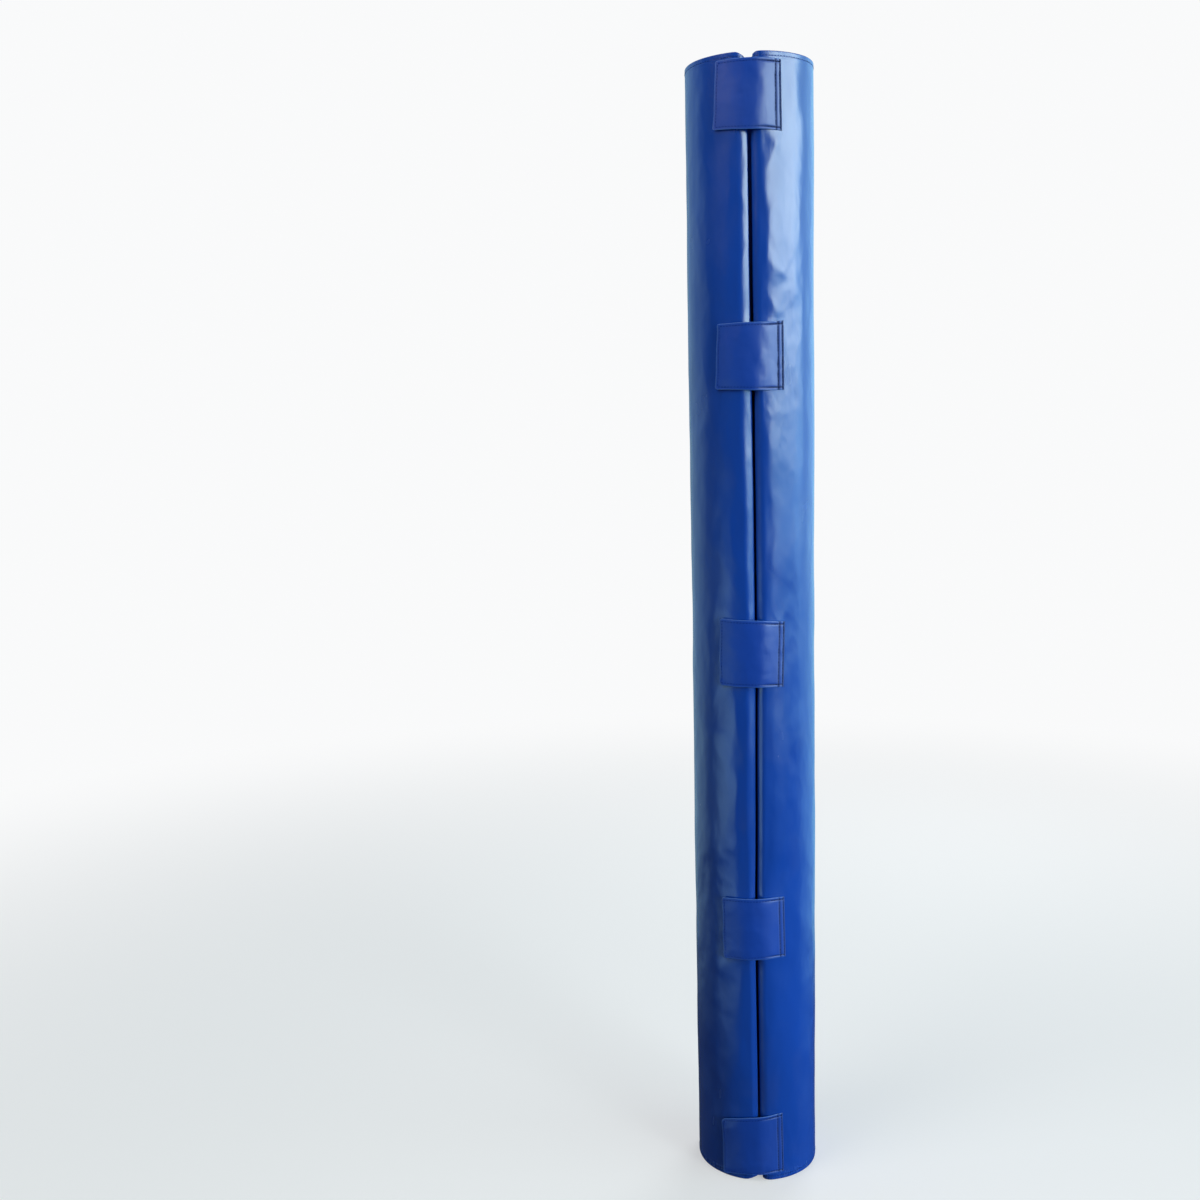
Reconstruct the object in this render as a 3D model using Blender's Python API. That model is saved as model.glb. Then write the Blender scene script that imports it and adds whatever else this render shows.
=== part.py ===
"""Wrap-around pad for a round net post.

A thick foam tube, slit down its front, sits in a vinyl cover. The cover goes round the foam, turns
over both lips of the slit and runs in to the bore, where a lining faces the post. Ring-shaped end
panels close the ends. Five doubled vinyl straps, sewn to the right half, lie over the slit and hold
on the left half by hook-and-loop tape. The pad opens like a clam about its back.

Metres, +Z up, the bore's axis on Z, the pad standing on Z = 0 with its slit towards -Y.
Angles are measured about the axis from the slit (-Y) towards +X, the right-hand side.
"""
import math

import bmesh
import bpy

# Driving dimensions, in metres and degrees
PAD_HEIGHT = 1.800
PAD_RADIUS = 0.100
BORE_RADIUS = 0.047
SLIT_WIDTH = 0.0084
VINYL = 0.0010
SEAT_GAP = 0.0003
BACK_GAP = 0.0003

LIP_RADIUS = 0.0100
BORE_EDGE_RADIUS = 0.0080
BORE_TURN_IN = 0.0120
END_FLARE = 0.0025
END_FLARE_RUN = 0.0120
RIM_SOFTENING = 0.0007
RIM_RUN = 0.0020

FLANGE_DEPTH = 0.0140
FOAM_EDGE_CHAMFER = 0.0030

# Each strap's centre height, and how many degrees further round it sits than the top one
STRAPS = ((1.734, 0.0), (1.353, 0.0), (0.890, -0.2), (0.437, 0.1), (0.0615, -4.2))
STRAP_TALL = 0.100
STRAP_THICK = 0.0012
STRAP_CORNER = 0.0070
STRAP_SEWN_END = 28.4
STRAP_LIFT_AT = 22.0
STRAP_PEEL_AT = 6.0
STRAP_FREE_END = -31.2
STRAP_SQUEEZE = 0.0015
SQUEEZE_FADE = 0.070

TAPE_THICK = 0.0012
TAPE_TALL = 0.094
TAPE_INNER_END = -9.7
TAPE_OUTER_END = -30.2

OUTER_ARC_STEPS = 18
LIP_STEPS = 4
BORE_EDGE_STEPS = 3
TURN_IN_STEPS = 2
BORE_ARC_STEPS = 9
STRAP_STEP = 3.2

# Worked out from the driving dimensions. Depths are offsets outward from the foam's own surface.
STRAP_CENTRES = tuple(height for height, _turn in STRAPS)
COVER_INNER = SEAT_GAP
COVER_OUTER = SEAT_GAP + VINYL
FLANGE_INNER = -VINYL
FLANGE_OUTER = 0.0
FOAM_AT_FLANGE = -VINYL - SEAT_GAP
FOAM_RADIUS = PAD_RADIUS - COVER_OUTER
FOAM_BORE = BORE_RADIUS + COVER_OUTER
FOAM_SLIT_HALF = SLIT_WIDTH / 2 + COVER_OUTER
FOAM_LIP = LIP_RADIUS - COVER_OUTER
FOAM_BORE_EDGE = BORE_EDGE_RADIUS - COVER_OUTER
SQUEEZED_RADIUS = PAD_RADIUS - STRAP_SQUEEZE

LOOP_INNER = SQUEEZED_RADIUS + SEAT_GAP
HOOK_INNER = LOOP_INNER + TAPE_THICK + SEAT_GAP
TAB_INNER = HOOK_INNER + TAPE_THICK + SEAT_GAP
BASE_INNER = SQUEEZED_RADIUS + SEAT_GAP

VINYL_BLUE = (0.012, 0.060, 0.340)
STRAP_BLUE = (0.014, 0.066, 0.360)
TAPE_BLACK = (0.010, 0.011, 0.016)
FOAM_GREY = (0.240, 0.245, 0.250)


def clear_scene():
    for thing in list(bpy.data.objects):
        bpy.data.objects.remove(thing, do_unlink=True)


def make_material(name, colour, roughness, metallic=0.0):
    material = bpy.data.materials.new(name)
    material.use_nodes = True
    shader = material.node_tree.nodes["Principled BSDF"]
    shader.inputs["Base Color"].default_value = (*colour, 1.0)
    shader.inputs["Roughness"].default_value = roughness
    shader.inputs["Metallic"].default_value = metallic
    return material


def eased(t):
    t = min(max(t, 0.0), 1.0)
    return t * t * (3.0 - 2.0 * t)


# Shape along the pad's height

def squeeze_at(z):
    """How far the straps draw the cover in at height z. The end straps hold it to the ends."""
    top, bottom = max(STRAP_CENTRES), min(STRAP_CENTRES)
    if z >= top or z <= bottom:
        return STRAP_SQUEEZE
    away = min(abs(z - centre) for centre in STRAP_CENTRES) - STRAP_TALL / 2
    return STRAP_SQUEEZE * (1.0 - eased(away / SQUEEZE_FADE))


def flare_at(z):
    """How far each lip stands back from the slit, more towards the two ends of the pad."""
    from_end = min(z, PAD_HEIGHT - z)
    return END_FLARE * max(0.0, 1.0 - from_end / END_FLARE_RUN)


def crown_levels():
    """Heights where the pad's outline changes: at the straps' edges and where the squeeze fades."""
    levels = []
    for centre in STRAP_CENTRES:
        for side in (-1, 1):
            levels.append(centre + side * STRAP_TALL / 2)
            levels.append(centre + side * (STRAP_TALL / 2 + SQUEEZE_FADE))
    top, bottom = max(STRAP_CENTRES), min(STRAP_CENTRES)
    return sorted(z for z in levels if bottom < z < top)


def mirrored_levels(near_bottom):
    """The same steps measured from the bottom and from the top, with the crown between them."""
    near_top = [PAD_HEIGHT - z for z in reversed(near_bottom)]
    return near_bottom + crown_levels() + near_top


# Shape round the pad

def polar(radius, degrees):
    a = math.radians(degrees)
    return radius * math.sin(a), -radius * math.cos(a)


def arc_points(centre, radius, start, end, steps):
    """Points on an arc, with angles measured as they are about the pad's axis."""
    points = []
    for i in range(steps + 1):
        x, y = polar(radius, start + (end - start) * i / steps)
        points.append((centre[0] + x, centre[1] + y))
    return points


def back_angle(radius):
    """Where a circle of this radius stops, half the back gap short of the middle plane."""
    return 180.0 - math.degrees(math.asin(BACK_GAP / 2 / radius))


def outer_path(depth, z):
    """Right half, from the back round the outside, over the lip and in to the bore's edge."""
    slit = FOAM_SLIT_HALF + flare_at(z)
    foam_radius = FOAM_RADIUS - squeeze_at(z)
    lip_x = slit + FOAM_LIP
    lip_reach = foam_radius - FOAM_LIP
    lip_y = -math.sqrt(lip_reach ** 2 - lip_x ** 2)
    lip_angle = math.degrees(math.asin(lip_x / lip_reach))
    outside = foam_radius + depth
    path = arc_points((0, 0), outside, back_angle(outside), lip_angle, OUTER_ARC_STEPS)
    path += arc_points((lip_x, lip_y), FOAM_LIP + depth, lip_angle, -90.0, LIP_STEPS)[1:]

    edge_x = slit + FOAM_BORE_EDGE
    edge_reach = FOAM_BORE + FOAM_BORE_EDGE
    edge_y = -math.sqrt(edge_reach ** 2 - edge_x ** 2)
    edge_angle = math.degrees(math.asin(edge_x / edge_reach))
    path += arc_points(
        (edge_x, edge_y), FOAM_BORE_EDGE + depth, -90.0, -180.0 + edge_angle, BORE_EDGE_STEPS
    )
    return path, edge_angle


def lining_start():
    """Angle on the bore where the cover's turned-in edge stops and the lining starts."""
    edge_x = FOAM_SLIT_HALF + FOAM_BORE_EDGE
    edge_angle = math.degrees(math.asin(edge_x / (FOAM_BORE + FOAM_BORE_EDGE)))
    return edge_angle + math.degrees(BORE_TURN_IN / FOAM_BORE)


def cover_path(depth, z):
    path, edge_angle = outer_path(depth, z)
    inside = FOAM_BORE - depth
    return path + arc_points((0, 0), inside, edge_angle, lining_start(), TURN_IN_STEPS)[1:]


def lining_path(depth, _z):
    inside = FOAM_BORE - depth
    return arc_points((0, 0), inside, lining_start(), back_angle(inside), BORE_ARC_STEPS)


def full_path(depth, z):
    """The whole closed outline of the half, bore included."""
    return cover_path(depth, z) + lining_path(depth, z)[1:]


# Mesh making

def add_ring(mesh, points, z):
    return [mesh.verts.new((x, y, z)) for x, y in points]


def skin(mesh, first, second):
    """Quads between two closed rings of as many points."""
    count = len(first)
    for i in range(count):
        j = (i + 1) % count
        mesh.faces.new((first[i], first[j], second[j], second[i]))


def finish_object(name, mesh, material, mirror_x=False, pivot=(0.0, 0.0, 0.0)):
    """Makes the object, with its origin at the pivot and its mesh measured from there."""
    if mirror_x:
        bmesh.ops.scale(mesh, vec=(-1, 1, 1), verts=mesh.verts)
    bmesh.ops.translate(mesh, vec=[-value for value in pivot], verts=mesh.verts)
    bmesh.ops.recalc_face_normals(mesh, faces=mesh.faces)
    data = bpy.data.meshes.new(name)
    mesh.to_mesh(data)
    mesh.free()
    data.materials.append(material)
    data.shade_smooth()
    data.set_sharp_from_angle(angle=math.radians(40))
    thing = bpy.data.objects.new(name, data)
    bpy.context.scene.collection.objects.link(thing)
    thing.location = pivot
    return thing


def lofted_solid(name, rings, material, mirror_x):
    """A solid lofted through closed rings, each given as (points, z), with flat ends."""
    mesh = bmesh.new()
    loops = [add_ring(mesh, points, z) for points, z in rings]
    for lower, upper in zip(loops, loops[1:]):
        skin(mesh, lower, upper)
    ends = [mesh.faces.new(loops[0]), mesh.faces.new(loops[-1])]
    bmesh.ops.triangulate(mesh, faces=ends)
    return finish_object(name, mesh, material, mirror_x)


def walled_ring(path_at, inner_depth, outer_depth, z):
    """One closed ring through a thin wall: out along its outer face and back along its inner."""
    return path_at(outer_depth, z) + list(reversed(path_at(inner_depth, z)))


def walled_solid(name, path_at, inner_depths, outer_depths, levels, material, mirror_x):
    """A thin wall that follows a path round the pad, lofted through the given heights."""
    mesh = bmesh.new()
    loops = []
    for z, inner, outer in zip(levels, inner_depths, outer_depths):
        loops.append(add_ring(mesh, walled_ring(path_at, inner, outer, z), z))
    for lower, upper in zip(loops, loops[1:]):
        skin(mesh, lower, upper)
    for loop in (loops[0], loops[-1]):
        skin_across(mesh, loop)
    return finish_object(name, mesh, material, mirror_x)


def skin_across(mesh, loop):
    """Closes the end of a thin wall, edge to edge across its thickness."""
    half = len(loop) // 2
    for i in range(half - 1):
        mesh.faces.new((loop[i], loop[i + 1], loop[-i - 2], loop[-i - 1]))


# The padded body

def make_foam_core(name, material, mirror_x):
    """Foam half tube, its ends stepped in for the end panels' flanges and softly chamfered."""
    floor = VINYL + SEAT_GAP
    step = FLANGE_DEPTH + SEAT_GAP
    near_bottom = [
        (floor, FOAM_AT_FLANGE - FOAM_EDGE_CHAMFER),
        (floor + FOAM_EDGE_CHAMFER, FOAM_AT_FLANGE),
        (step, FOAM_AT_FLANGE),
        (step - FOAM_AT_FLANGE, 0.0),
    ]
    rings = [(full_path(depth, z), z) for z, depth in near_bottom]
    rings += [(full_path(0.0, z), z) for z in crown_levels()]
    rings += [(full_path(d, PAD_HEIGHT - z), PAD_HEIGHT - z) for z, d in reversed(near_bottom)]
    return lofted_solid(name, rings, material, mirror_x)


def make_outer_cover(name, material, mirror_x):
    """The vinyl sheet round the outside, over the lip and in to the bore, with softened rims."""
    levels = mirrored_levels([SEAT_GAP, RIM_RUN, END_FLARE_RUN])
    outer = [COVER_OUTER] * len(levels)
    outer[0] = outer[-1] = COVER_OUTER - RIM_SOFTENING
    inner = [COVER_INNER] * len(levels)
    return walled_solid(name, cover_path, inner, outer, levels, material, mirror_x)


def make_bore_lining(name, material, mirror_x):
    """The vinyl that faces the post, from the cover's turned-in edge to the back."""
    def shortened_path(depth, z):
        path = lining_path(depth, z)
        inside = FOAM_BORE - depth
        path[0] = polar(inside, lining_start() + math.degrees(SEAT_GAP / inside))
        return path

    levels = [SEAT_GAP, PAD_HEIGHT - SEAT_GAP]
    inner = [COVER_INNER] * 2
    outer = [COVER_OUTER] * 2
    return walled_solid(name, shortened_path, inner, outer, levels, material, mirror_x)


def make_end_panel(name, material, mirror_x, at_top):
    """A half-ring sheet over the foam's end, with a flange turned along the foam all round."""
    def place(z):
        return PAD_HEIGHT - z if at_top else z

    mesh = bmesh.new()
    loops = []
    for z, depth in (
        (0.0, FLANGE_OUTER),
        (END_FLARE_RUN, FLANGE_OUTER),
        (FLANGE_DEPTH, FLANGE_OUTER),
        (FLANGE_DEPTH, FLANGE_INNER),
        (END_FLARE_RUN, FLANGE_INNER),
        (VINYL, FLANGE_INNER),
    ):
        loops.append(add_ring(mesh, full_path(depth, place(z)), place(z)))
    for first, second in zip(loops, loops[1:]):
        skin(mesh, first, second)
    faces = [mesh.faces.new(loops[0]), mesh.faces.new(loops[-1])]
    bmesh.ops.triangulate(mesh, faces=faces)
    return finish_object(name, mesh, material, mirror_x)


def make_padded_half(side, mirror_x, materials):
    vinyl = materials["vinyl"]
    return [
        make_foam_core(f"{side}_foam_core", materials["foam"], mirror_x),
        make_outer_cover(f"{side}_outer_cover", vinyl, mirror_x),
        make_bore_lining(f"{side}_bore_lining", vinyl, mirror_x),
        make_end_panel(f"{side}_top_panel", vinyl, mirror_x, at_top=True),
        make_end_panel(f"{side}_bottom_panel", vinyl, mirror_x, at_top=False),
    ]


# Straps and tapes

def stretch(start, end):
    """The angles of a plate's columns, evenly spaced from one end to the other."""
    steps = max(1, round(abs(end - start) / STRAP_STEP))
    return [start + (end - start) * i / steps for i in range(steps + 1)]


def bent_plate(name, columns, inner_at, thick, height_at, seat, material, pivot):
    """A plate that goes round the pad through columns at the given angles.

    The seat is the height of its middle and how far round the pad it is turned.
    """
    middle, turn = seat
    mesh = bmesh.new()
    rings = []
    for degrees in columns:
        inner = inner_at(degrees)
        half = height_at(degrees) / 2
        corners = (
            (inner, -half),
            (inner, half),
            (inner + thick, half),
            (inner + thick, -half),
        )
        ring = []
        for radius, dz in corners:
            x, y = polar(radius, degrees + turn)
            ring.append(mesh.verts.new((x, y, middle + dz)))
        rings.append(ring)
    for first, second in zip(rings, rings[1:]):
        skin(mesh, first, second)
    mesh.faces.new(rings[0])
    mesh.faces.new(rings[-1])
    return finish_object(name, mesh, material, pivot=pivot)


def fold_line(degrees, radius, seat):
    """The middle of the line along a strap's outer face where it folds."""
    middle, turn = seat
    x, y = polar(radius, degrees + turn)
    return x, y, middle


def gap_angle(radius):
    """Half of the gap between two strap pieces that meet at a bend."""
    return math.degrees(SEAT_GAP / 2 / radius)


def strap_inner_radius(degrees):
    """The strap lies on the cover where it is sewn, and over the tapes where it is held.

    Between the two it is pulled straight.
    """
    climb = (STRAP_LIFT_AT - degrees) / (STRAP_LIFT_AT - STRAP_PEEL_AT)
    return BASE_INNER + (TAB_INNER - BASE_INNER) * eased(climb)


def tab_height(degrees):
    """Full height, less the rounding of the two corners at the free end."""
    from_end = math.radians(degrees - STRAP_FREE_END) * TAB_INNER
    if from_end >= STRAP_CORNER:
        return STRAP_TALL
    inward = STRAP_CORNER - from_end
    return STRAP_TALL - 2 * (STRAP_CORNER - math.sqrt(max(0.0, STRAP_CORNER ** 2 - inward ** 2)))


def full_height(_degrees):
    return STRAP_TALL


def make_strap(number, seat, materials):
    """The three stretches of one strap, each with its origin on the line where it bends."""
    middle, _turn = seat
    gap = gap_angle(PAD_RADIUS)
    lift_pivot = fold_line(STRAP_LIFT_AT, BASE_INNER + STRAP_THICK, seat)
    peel_pivot = fold_line(STRAP_PEEL_AT, TAB_INNER + STRAP_THICK, seat)
    base = bent_plate(
        f"strap_{number}_base", stretch(STRAP_SEWN_END, STRAP_LIFT_AT + gap), strap_inner_radius,
        STRAP_THICK, full_height, seat, materials["strap"], (0.0, 0.0, middle),
    )
    bridge = bent_plate(
        f"strap_{number}_bridge", (STRAP_LIFT_AT - gap, STRAP_PEEL_AT + gap), strap_inner_radius,
        STRAP_THICK, full_height, seat, materials["strap"], lift_pivot,
    )
    tab = bent_plate(
        f"strap_{number}_tab", stretch(STRAP_PEEL_AT - gap, STRAP_FREE_END), strap_inner_radius,
        STRAP_THICK, tab_height, seat, materials["strap"], peel_pivot,
    )
    return base, bridge, tab, peel_pivot


def make_tapes(number, seat, peel_pivot, materials):
    """Hook tape under the strap's free end, and the loop tape that it holds on to."""
    def tape(name, inner, pivot):
        return bent_plate(
            name, stretch(TAPE_INNER_END, TAPE_OUTER_END), lambda _degrees: inner,
            TAPE_THICK, lambda _degrees: TAPE_TALL, seat, materials["tape"], pivot,
        )

    middle, _turn = seat
    hook = tape(f"hook_tape_{number}", HOOK_INNER, peel_pivot)
    tape(f"loop_tape_{number}", LOOP_INNER, (0.0, 0.0, middle))
    return hook


def add_pivot(name, place):
    """An empty on a joint's axis."""
    pivot = bpy.data.objects.new(name, None)
    bpy.context.scene.collection.objects.link(pivot)
    pivot.location = place
    return pivot


def hang_on(child, parent):
    """Parents without moving the child. Neither is turned or scaled."""
    bpy.context.view_layer.update()
    place = child.matrix_world.translation.copy()
    child.parent = parent
    child.matrix_parent_inverse.identity()
    child.location = place - parent.matrix_world.translation


def build_pad():
    materials = {
        "vinyl": make_material("cover_vinyl", VINYL_BLUE, 0.30),
        "strap": make_material("strap_vinyl", STRAP_BLUE, 0.32),
        "tape": make_material("tape_pile", TAPE_BLACK, 0.95),
        "foam": make_material("foam", FOAM_GREY, 0.90),
    }
    make_padded_half("left", True, materials)
    right_half = make_padded_half("right", False, materials)

    back_hinge = add_pivot("back_hinge", (0.0, PAD_RADIUS, PAD_HEIGHT / 2))
    for piece in right_half:
        hang_on(piece, back_hinge)

    for number, seat in enumerate(STRAPS, start=1):
        base, bridge, tab, peel_pivot = make_strap(number, seat, materials)
        hook = make_tapes(number, seat, peel_pivot, materials)
        hang_on(base, back_hinge)
        hang_on(bridge, back_hinge)
        hang_on(tab, bridge)
        hang_on(hook, tab)


clear_scene()
build_pad()
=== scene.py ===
"""The look of a wrap-around pad for a round net post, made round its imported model.

Metres, +Z up, the bore's axis on Z, the pad standing on Z = 0 with its slit towards -Y. Angles are
degrees about the axis from the slit towards +X, so the right-hand side is positive.
"""
import math
from collections import namedtuple

import bmesh
import bpy
import numpy as np
from mathutils import Matrix, Vector, noise
from mathutils.bvhtree import BVHTree
from mathutils.geometry import delaunay_2d_cdt


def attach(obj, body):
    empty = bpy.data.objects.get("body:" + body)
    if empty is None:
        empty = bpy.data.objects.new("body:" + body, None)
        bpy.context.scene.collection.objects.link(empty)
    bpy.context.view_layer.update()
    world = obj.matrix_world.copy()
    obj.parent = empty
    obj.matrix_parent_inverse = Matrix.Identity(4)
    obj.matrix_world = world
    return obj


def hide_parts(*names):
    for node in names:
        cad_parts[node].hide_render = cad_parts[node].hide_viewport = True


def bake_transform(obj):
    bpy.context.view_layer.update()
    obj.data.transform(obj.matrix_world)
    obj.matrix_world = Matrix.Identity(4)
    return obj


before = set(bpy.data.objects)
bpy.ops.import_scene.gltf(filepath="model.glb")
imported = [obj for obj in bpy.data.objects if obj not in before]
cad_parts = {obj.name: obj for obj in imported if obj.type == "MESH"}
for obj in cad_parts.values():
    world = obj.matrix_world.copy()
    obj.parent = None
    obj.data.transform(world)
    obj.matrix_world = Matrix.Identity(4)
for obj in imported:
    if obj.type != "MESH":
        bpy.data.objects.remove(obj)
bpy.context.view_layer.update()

scene = bpy.context.scene

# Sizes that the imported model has
PAD_HEIGHT = 1.800
PAD_RADIUS = 0.1000
BORE_RADIUS = 0.0470
BORE_EDGE_RADIUS = 0.0080
STRAPS = ((1.734, 0.0), (1.353, 0.0), (0.890, -0.2), (0.437, 0.1), (0.0615, -4.2))
STRAP_TALL = 0.100
STRAP_SEWN_END = 28.4
STRAP_FREE_END = -31.2
STRAP_SQUEEZE = 0.0010
SQUEEZE_FADE = 0.120
TAPE_INNER_END = -9.7
TAPE_OUTER_END = -30.2
TAPE_TALL = 0.094
TAPE_THICK = 0.0012
LOOP_TAPE_FACE = 0.1000
HOOK_TAPE_FACE = 0.1003

# The slit on its way up: height, middle's x, half width, how far round the left lip is turned in
SLIT_COURSE = (
    (0.000, 0.0026, 0.0046, 0.0100),
    (0.020, 0.0022, 0.0024, 0.0100),
    (0.120, 0.0015, 0.0016, 0.0100),
    (0.440, -0.0003, 0.0019, 0.0125),
    (0.650, 0.0016, 0.0017, 0.0145),
    (0.860, 0.0028, 0.0016, 0.0150),
    (1.100, 0.0022, 0.0016, 0.0178),
    (1.240, 0.0014, 0.0018, 0.0186),
    (1.330, 0.0009, 0.0022, 0.0188),
    (1.500, -0.0010, 0.0024, 0.0192),
    (1.690, -0.0018, 0.0026, 0.0188),
    (1.775, -0.0024, 0.0034, 0.0170),
    (1.800, -0.0030, 0.0066, 0.0165),
)

# How the cover beside the right lip leans towards the slit or away from it: height, degrees
FLANK_LEAN = (
    (0.900, 0.0), (0.960, -0.5), (1.060, 0.3), (1.150, -0.4), (1.200, -0.8), (1.240, -0.6),
    (1.285, 1.2), (1.320, 0.0), (1.380, 0.0), (1.415, -5.6), (1.445, -3.2), (1.468, -3.0),
    (1.487, 0.4), (1.505, 3.8), (1.540, 2.2), (1.572, -1.2), (1.600, 1.2), (1.630, 2.0),
    (1.652, -3.5), (1.672, -8.0), (1.695, -4.0), (1.710, 0.0),
)


def smooth(t):
    t = np.clip(t, 0.0, 1.0)
    return t * t * (3.0 - 2.0 * t)


def bump(x, middle, width):
    """A round hump of height 1 at the middle."""
    return np.exp(-(((x - middle) / width) ** 2))


def polar(radius, degrees):
    a = np.radians(degrees)
    return np.stack([radius * np.sin(a), -radius * np.cos(a)], axis=-1)


def standing(flat, z):
    """Points of a plan lifted to their heights."""
    return np.concatenate([flat, z[..., None]], axis=-1)


def angle_of(points):
    """Angle of each point about the axis, 0 to 360 degrees."""
    return np.degrees(np.arctan2(points[..., 0], -points[..., 1])) % 360.0


def from_slit(theta):
    """The same angles as -180 to 180 degrees from the slit."""
    return (theta + 180.0) % 360.0 - 180.0


def from_ends(z):
    return np.minimum(z, PAD_HEIGHT - z)


def unit(v):
    return v / np.maximum(np.linalg.norm(v, axis=-1, keepdims=True), 1e-12)


SEED_STEP = (17.3, 5.1, 9.7)
NOISE_GAIN = 1.6


def ripple(points, size, seed, stretch=(1.0, 1.0, 1.0)):
    """Smooth noise at each point, about -1 to 1, whose waves are of the given size."""
    shift = Vector([seed * step for step in SEED_STEP])
    scale = 1.0 / size
    flat = (points * np.array(stretch)).reshape(-1, 3)
    values = np.array([noise.noise(Vector(p) * scale + shift) for p in flat]) * NOISE_GAIN
    return values.reshape(points.shape[:-1])


# Mesh helpers

def mesh_object(name, points, faces, material=None):
    data = bpy.data.meshes.new(name)
    data.from_pydata(np.asarray(points, float).tolist(), [], [list(map(int, f)) for f in faces])
    data.shade_smooth()
    thing = bpy.data.objects.new(name, data)
    scene.collection.objects.link(thing)
    if material:
        data.materials.append(material)
    return thing


def read(rows, name, width=1, kind=np.float32):
    """One value of every row of a mesh's list, as an array."""
    values = np.empty(len(rows) * width, kind)
    rows.foreach_get(name, values)
    return values.reshape(-1, width) if width > 1 else values


def read_points(data):
    return read(data.vertices, "co", 3).astype(float)


def set_attribute(data, name, values):
    attribute = data.attributes.new(name, "FLOAT", "POINT")
    attribute.data.foreach_set("value", np.asarray(values, np.float32).ravel())


def baked(thing):
    """The object with its modifiers turned into plain mesh."""
    bpy.context.view_layer.update()
    graph = bpy.context.evaluated_depsgraph_get()
    data = bpy.data.meshes.new_from_object(thing.evaluated_get(graph), depsgraph=graph)
    old = thing.data
    thing.modifiers.clear()
    thing.data = data
    bpy.data.meshes.remove(old)
    data.name = thing.name
    return thing


def subdivided(thing, levels=1):
    subdivision = thing.modifiers.new("subdivision", "SUBSURF")
    subdivision.levels = subdivision.render_levels = levels
    return baked(thing)


def grid_faces(rows, columns, closed=False, first=0):
    """Quads of a grid of points stored row by row."""
    i = np.arange(columns if closed else columns - 1)
    j = (i + 1) % columns
    faces = []
    for row in range(rows - 1):
        a, b = first + row * columns, first + (row + 1) * columns
        faces.append(np.stack([a + i, a + j, b + j, b + i], axis=1))
    return np.concatenate(faces)


# The pad's outline at every height

LIP_STEPS = 6
FRONT_STEPS = 24
BACK_STEPS = 50
FRONT_ANGLE = 62.0
LIP_INNER_STEPS = 5
FACE_STEPS = 8
EDGE_STEPS = 5
LEVEL_STEP = 0.0066
RIGHT_LIP_RUN = 0.0140
RIGHT_LIP_DEPTH = 0.0092
RIGHT_LIP_FULLNESS = (0.50, 0.46)
LEFT_LIP_DEPTH_SHARES = (0.50, 0.43)
LEFT_LIP_FULLNESS = (0.42, 0.30)
SHALLOW_LIP_FROM = 1.38
SHALLOW_LIP_FADE = 0.08
LOOSE_BACK_FROM = 34.0
LOOSE_BACK_FADE = 30.0
LOOSE_BACK_SHARE = 0.85
END_LEVELS = (0.0, 0.0004, 0.0010, 0.0018, 0.0030, 0.0045, 0.0058, 0.0066, 0.0074, 0.0085,
              0.0096, 0.0107, 0.0125, 0.0160, 0.0205, 0.0260)
U_STEPS = 2 * (LIP_STEPS + FRONT_STEPS) + BACK_STEPS
V_STEPS = LIP_INNER_STEPS + FACE_STEPS + EDGE_STEPS
RIM_RADIUS = 0.0012
HEM_WIDTH = 0.0098
HEM_THICK = 0.00014
HEM_STEP = 0.0016
HEM_STITCH_FROM_EDGE = 0.0068
HEM_GROOVE_DEPTH = 0.00020
HEM_GROOVE_WIDTH = 0.0011
HEM_HOLLOW_DEPTH = 0.00012
HEM_HOLLOW_WIDTH = 0.0022
HEM_HOLLOW_BEHIND = 0.0030
# Share of the seam mark along the hem's stitch row: painted shade of its groove, with some dirt
HEM_MARK = 0.12
HEM_MARK_WIDTH = 0.0009
PANEL_SEAM_FROM_EDGE = 0.0050
PANEL_SEAM_DEPTH = 0.0014
PANEL_SEAM_WIDTH = 0.0014
PANEL_MARK_WIDTH = 0.0010
PANEL_HOLLOW_FROM_EDGE = 0.0125
PANEL_HOLLOW_DEPTH = 0.0007
PANEL_HOLLOW_WIDTH = 0.0050
PANEL_STITCH_FROM_EDGE = 0.0078
PANEL_STITCH_SPARE = 0.0004
PANEL_PUCKER = 0.0003
PANEL_PUCKER_FADE = 0.006
SEAM_FLANK = 5.0

# How the lips' runs vary up the pad: by how much, radians a metre, radians at the floor
LEFT_LIP_SWAYS = ((0.0010, 11.0, 0.0), (0.0006, 31.0, 1.0))
RIGHT_LIP_SWAYS = ((0.0012, 7.0, 1.0),)


def height_levels():
    """Heights of the grid's rows, closer together at the hems."""
    low = list(END_LEVELS)
    high = [PAD_HEIGHT - z for z in reversed(END_LEVELS)]
    count = round((high[0] - low[-1]) / LEVEL_STEP)
    middle = list(np.linspace(low[-1], high[0], count + 1)[1:-1])
    return np.array(low + middle + high)


def slit_course(z):
    """The slit's middle, half width and left lip's run at each height, read smoothly."""
    heights, *columns = np.array(SLIT_COURSE).T
    at = np.clip(np.searchsorted(heights, z) - 1, 0, len(heights) - 2)
    t = smooth((z - heights[at]) / (heights[at + 1] - heights[at]))
    return [values[at] * (1 - t) + values[at + 1] * t for values in columns]


def swayed(run, z, sways):
    """A lip's run at each height, varied up the pad."""
    for size, pitch, start in sways:
        run = run + size * np.sin(z * pitch + start)
    return run


def from_straps(z):
    """Distance to the nearest strap's edge, negative under a strap."""
    return np.min([np.abs(z - centre) for centre, _turn in STRAPS], axis=0) - STRAP_TALL / 2


def strap_press(z):
    """1 under a strap and at both ends of the pad, easing to 0 between the straps."""
    top, bottom = STRAPS[0][0], STRAPS[-1][0]
    press = 1.0 - smooth(from_straps(z) / SQUEEZE_FADE)
    return np.where((z >= top) | (z <= bottom), 1.0, press)


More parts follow.
